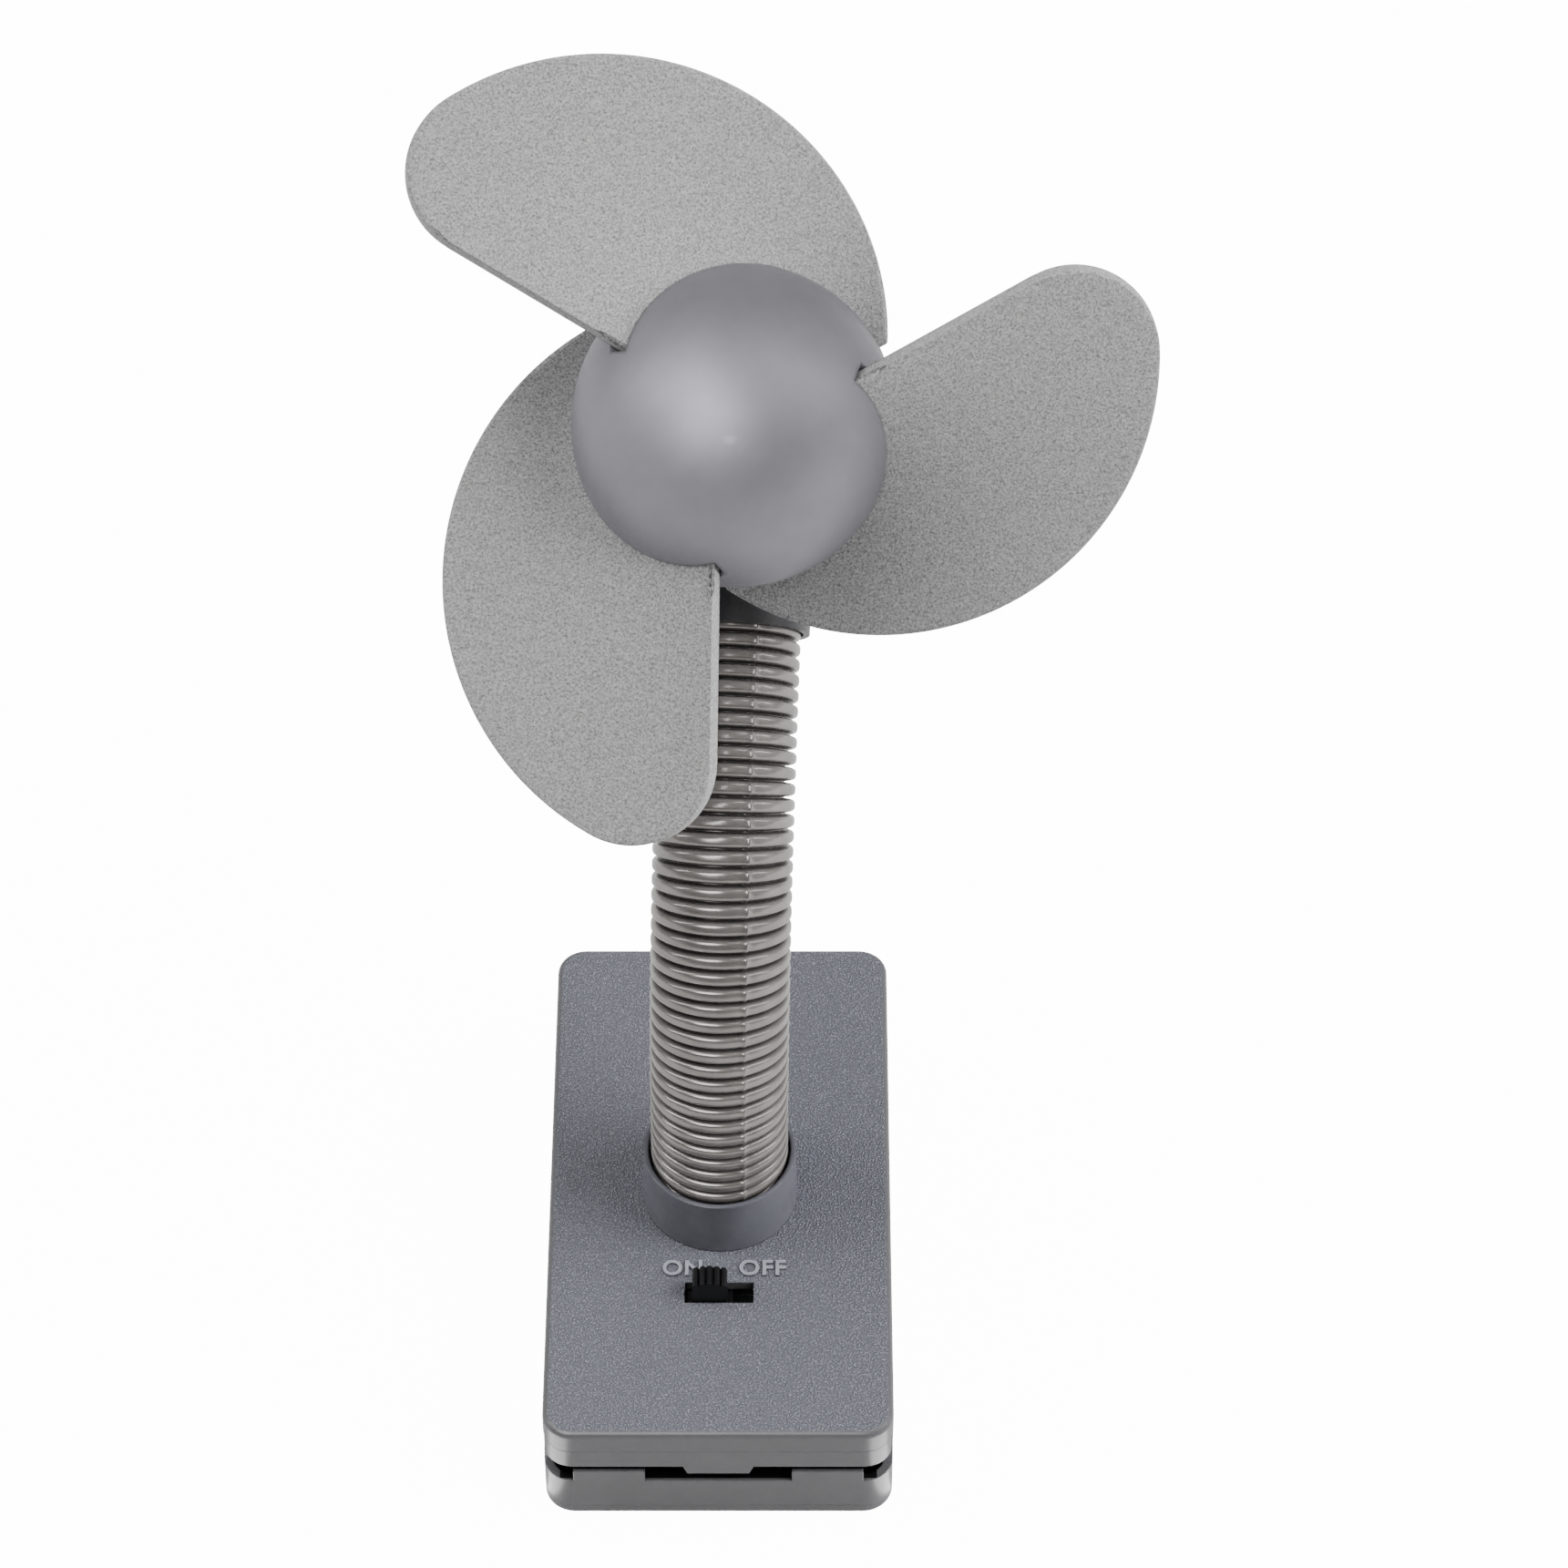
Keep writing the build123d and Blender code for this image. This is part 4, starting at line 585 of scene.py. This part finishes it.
def round_edges(piece):
    """Bevels the rim, and takes out what the bevel folds onto itself at the corners."""
    mesh = bmesh.new()
    mesh.from_mesh(piece.data)
    bmesh.ops.recalc_face_normals(mesh, faces=mesh.faces)
    sharp = [
        edge
        for edge in mesh.edges
        if len(edge.link_faces) == 2 and edge.calc_face_angle() > math.radians(50)
    ]
    bmesh.ops.bevel(
        mesh, geom=sharp, offset=BLADE_EDGE * MM, segments=3, profile=0.6, affect="EDGES"
    )
    bmesh.ops.remove_doubles(mesh, verts=mesh.verts, dist=0.02 * MM)
    bmesh.ops.dissolve_degenerate(mesh, dist=0.005 * MM, edges=mesh.edges)
    bmesh.ops.triangulate(mesh, faces=mesh.faces)
    folded = {}
    for face in mesh.faces:
        folded.setdefault(frozenset(face.verts), []).append(face)
    twins = [face for faces in folded.values() if len(faces) > 1 for face in faces]
    bmesh.ops.delete(mesh, geom=twins, context="FACES")
    mesh.verts.sort(key=lambda vert: vert.co @ FACE_ORDER)
    mesh.faces.sort(key=lambda face: face.calc_center_median() @ FACE_ORDER)
    for face in mesh.faces:
        face.smooth = True
    mesh.to_mesh(piece.data)
    mesh.free()


def blade(number):
    """A sheet of foam, cut square to its surface, with slightly rounded edges."""
    front, rear = blade_sides(number)
    piece = new_piece(f"foam_blade_{number}", front + rear, blade_faces(), FOAM)
    round_edges(piece)
    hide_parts(f"blade_{number}")
    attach(piece, "rotor")


for number in (1, 2, 3):
    blade(number)

# ---------------------------------------------------------------- jaw springs

HINGE_Y, HINGE_Z = Vector(joint("jaw_hinge")["pos_m"]).yz / MM
SPRING_X = 18.3  # where the coils start
SPRING_R = 3.2
SPRING_STEP = 1.5
SPRING_TURNS = 2.5
SPRING_LEG = 13.0
SPRING_WIRE_R = 0.45
LEG_END_Z = 3.15  # just above the jaw's cover
TURN_STEPS = 28
LEG_STEPS = 12
WIRE_AROUND = 12


def spring_coil(side):
    """The upper leg, then the coil from the top of the pin to under it."""
    points = [Vector((side * SPRING_X, HINGE_Y + SPRING_LEG, HINGE_Z + SPRING_R))]
    for i in range(int(SPRING_TURNS * TURN_STEPS) + 1):
        turn = i / TURN_STEPS
        angle = 2 * math.pi * turn
        x = side * (SPRING_X + SPRING_STEP * turn)
        y, z = HINGE_Y - SPRING_R * math.sin(angle), HINGE_Z + SPRING_R * math.cos(angle)
        points.append(Vector((x, y, z)))
    return points


def spring_leg(side):
    """The lower leg, from the end of the coil to the jaw's cover."""
    start = spring_coil(side)[-1]
    end = Vector((start.x, HINGE_Y + SPRING_LEG, LEG_END_Z))
    return [start.lerp(end, i / LEG_STEPS) for i in range(LEG_STEPS + 1)]


def wires(name, paths):
    """Round wires along the paths, with flat ends."""
    points, faces = [], []
    for path in paths:
        first = len(points)
        for i, point in enumerate(path):
            along = (path[min(i + 1, len(path) - 1)] - path[max(i - 1, 0)]).normalized()
            across = along.cross(Vector((1, 0, 0))).normalized()
            points += circle(point, across, along.cross(across), SPRING_WIRE_R, WIRE_AROUND)
        sides = rings_to_faces(len(path), WIRE_AROUND, False)
        faces += [tuple(first + corner for corner in face) for face in sides]
        faces.append(tuple(first + WIRE_AROUND - 1 - k for k in range(WIRE_AROUND)))
        faces.append(tuple(len(points) - WIRE_AROUND + k for k in range(WIRE_AROUND)))
    piece = new_piece(name, points, faces, STEEL)
    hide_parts("jaw_springs")
    return piece


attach(wires("jaw_spring_coils", [spring_coil(side) for side in (-1, 1)]), "base")
legs = wires("jaw_spring_legs", [spring_leg(side) for side in (-1, 1)])
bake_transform(legs)

# ---------------------------------------------------------------- raised letters

LETTERS_Y = -19.2
LETTERS_LIFT = 0.08


def lettering(name, words, x, size):
    """Raised words on the plate, read from the front."""
    curve = bpy.data.curves.new(name, "FONT")
    curve.body = words
    curve.align_x = "CENTER"
    curve.size = size * MM
    curve.extrude = 0.16 * MM
    curve.bevel_depth = 0.10 * MM
    curve.offset = 0.01 * MM
    curve.space_character = 1.08
    text = new_object(name + "_text", curve)
    bpy.context.view_layer.update()
    depsgraph = bpy.context.evaluated_depsgraph_get()
    mesh = bpy.data.meshes.new_from_object(text.evaluated_get(depsgraph))
    bpy.data.objects.remove(text)
    mesh.materials.clear()
    mesh.materials.append(LETTERS)
    piece = new_object(name, mesh)
    piece.location = (x * MM, LETTERS_Y * MM, (PLATE_Z + LETTERS_LIFT) * MM)
    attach(piece, "base")


def letter_plastic_painted_light():
    """The plate's grey, with a painted highlight on the edges that slope towards the back and the
    left, and painted shade on those that slope towards the front and the right.
    """
    face = (0.29, 0.305, 0.345)
    material, tree, shader, position = new_material("letters", face, 0.25)
    geometry = tree.nodes.new("ShaderNodeNewGeometry")
    facing = tree.nodes.new("ShaderNodeVectorMath")
    facing.operation = "DOT_PRODUCT"
    facing.inputs[1].default_value = (-0.30, 0.35, 0.5)
    tree.links.new(geometry.outputs["True Normal"], facing.inputs[0])
    # Painted light: paler where the surface turns to the back and left, darker where it turns to
    # the front and right.
    stops = [(0.25, (0.09, 0.09, 0.11)), (0.45, face), (0.53, face), (0.60, (0.85, 0.87, 0.92))]
    tree.links.new(ramp(tree, facing.outputs["Value"], stops), shader.inputs["Base Color"])
    bump(tree, shader, noise(tree, position, 4.0, 3.0), PLASTIC_GRAIN)
    return material


LETTERS = letter_plastic_painted_light()
lettering("letters_on", "ON", -5.9, 4.1)
lettering("letters_off", "OFF", 7.05, 4.2)

# ---------------------------------------------------------------- floor and light

FLOOR_WHITE = 14.0  # glow towards the camera
FLOOR_MIRRORED = 0.6  # glow in glossy surfaces
# Two floor patches glow only in reflections: painted reflections that make the corners' upright
# glints.
GLINT_PATCH_GLOW = 5.5  # added beside the base's front corners, for their upright glints
PATCH_X = (29.0, 46.0)
PATCH_Y = (-68.0, -46.0)


def floor_material():
    """A pale floor that looks nearly white to the camera and bright in glossy surfaces, with two
    patches that glow only in reflections, as painted reflections for the corners' glints.
    """
    pale = (0.5, 0.5, 0.5)
    material, tree, shader, position = new_material("floor", pale, 0.9)
    tinted(tree, shader, position, pale, 0.005, 0.05)
    path = tree.nodes.new("ShaderNodeLightPath")
    mirrored = FLOOR_MIRRORED
    for side in (-1, 1):
        left, right = sorted(side * x for x in PATCH_X)
        glint_patch = in_box(tree, position, (left, PATCH_Y[0], -1.0), (right, PATCH_Y[1], 1.0))
        mirrored = math_node(tree, "MULTIPLY_ADD", glint_patch, GLINT_PATCH_GLOW, mirrored)
    glossy = math_node(tree, "MULTIPLY", path.outputs["Is Glossy Ray"], mirrored)
    glow = math_node(tree, "MULTIPLY_ADD", path.outputs["Is Camera Ray"], FLOOR_WHITE, glossy)
    shader.inputs["Emission Color"].default_value = (1, 1, 1, 1)
    tree.links.new(glow, shader.inputs["Emission Strength"])
    return material


floor_mesh = bpy.data.meshes.new("floor")
floor_mesh.from_pydata([(-3, -2, 0), (3, -2, 0), (3, 4, 0), (-3, 4, 0)], [], [(0, 1, 2, 3)])
floor_mesh.materials.append(floor_material())
floor = new_object("floor", floor_mesh)


def area_light(name, place, size, power, aim=(0, 0.02, 0.08)):
    """A round light, its place, size and aim in metres."""
    light = new_object(name, bpy.data.lights.new(name, "AREA"))
    light.data.shape = "DISK"
    light.data.size = size
    light.data.energy = power
    light.location = place
    light.rotation_euler = (Vector(aim) - Vector(place)).to_track_quat("-Z", "Y").to_euler()
    return light


# These light the surfaces, and leave no highlight of their own.
for name, place, size, power in (
    ("softbox_right", (1.25, -0.20, 0.98), 1.7, 45),
    ("softbox_left", (-1.2, 0.1, 0.6), 1.2, 13),
    ("softbox_low", (1.1, -0.20, 0.20), 0.6, 2.5),
    ("softbox_top", (-0.4, 0.4, 1.4), 1.2, 11),
):
    area_light(name, place, size, power).visible_glossy = False

# These make the highlights: on the dome, and along the hose.
DOME_CENTRE = (0.003, 0.044, 0.15)
shine = area_light("softbox_camera_left", (-0.40, -0.72, 1.12), 0.9, 20, DOME_CENTRE)
shine.visible_diffuse = False
for name, side, power in (("strip_left", -1, 7), ("strip_right", 1, 5)):
    strip = area_light(name, (0.85 * side, 0.05, 0.95), 0.14, power)
    strip.data.shape = "RECTANGLE"
    strip.data.size_y = 1.3
    strip.visible_diffuse = False

WORLD_LIGHT = 0.30
WORLD_WHITE = 60.0  # added towards the camera


def studio_world():
    """A white tent round the fan, open and dim on the camera's side, plain white behind it."""
    world = bpy.data.worlds.new("studio")
    world.use_nodes = True
    tree = world.node_tree
    coords = tree.nodes.new("ShaderNodeTexCoord")
    to_back = split_xyz(tree, coords.outputs["Generated"])["Y"]
    from_front = math_node(tree, "MULTIPLY_ADD", to_back, 0.5, 0.5)
    shade = ramp(tree, from_front, [(0.10, 0.15), (0.32, 1.0)])
    background = tree.nodes["Background"]
    tree.links.new(shade, background.inputs["Color"])
    seen = tree.nodes.new("ShaderNodeLightPath").outputs["Is Camera Ray"]
    strength = math_node(tree, "MULTIPLY_ADD", seen, WORLD_WHITE, WORLD_LIGHT)
    tree.links.new(strength, background.inputs["Strength"])
    bpy.context.scene.world = world


studio_world()
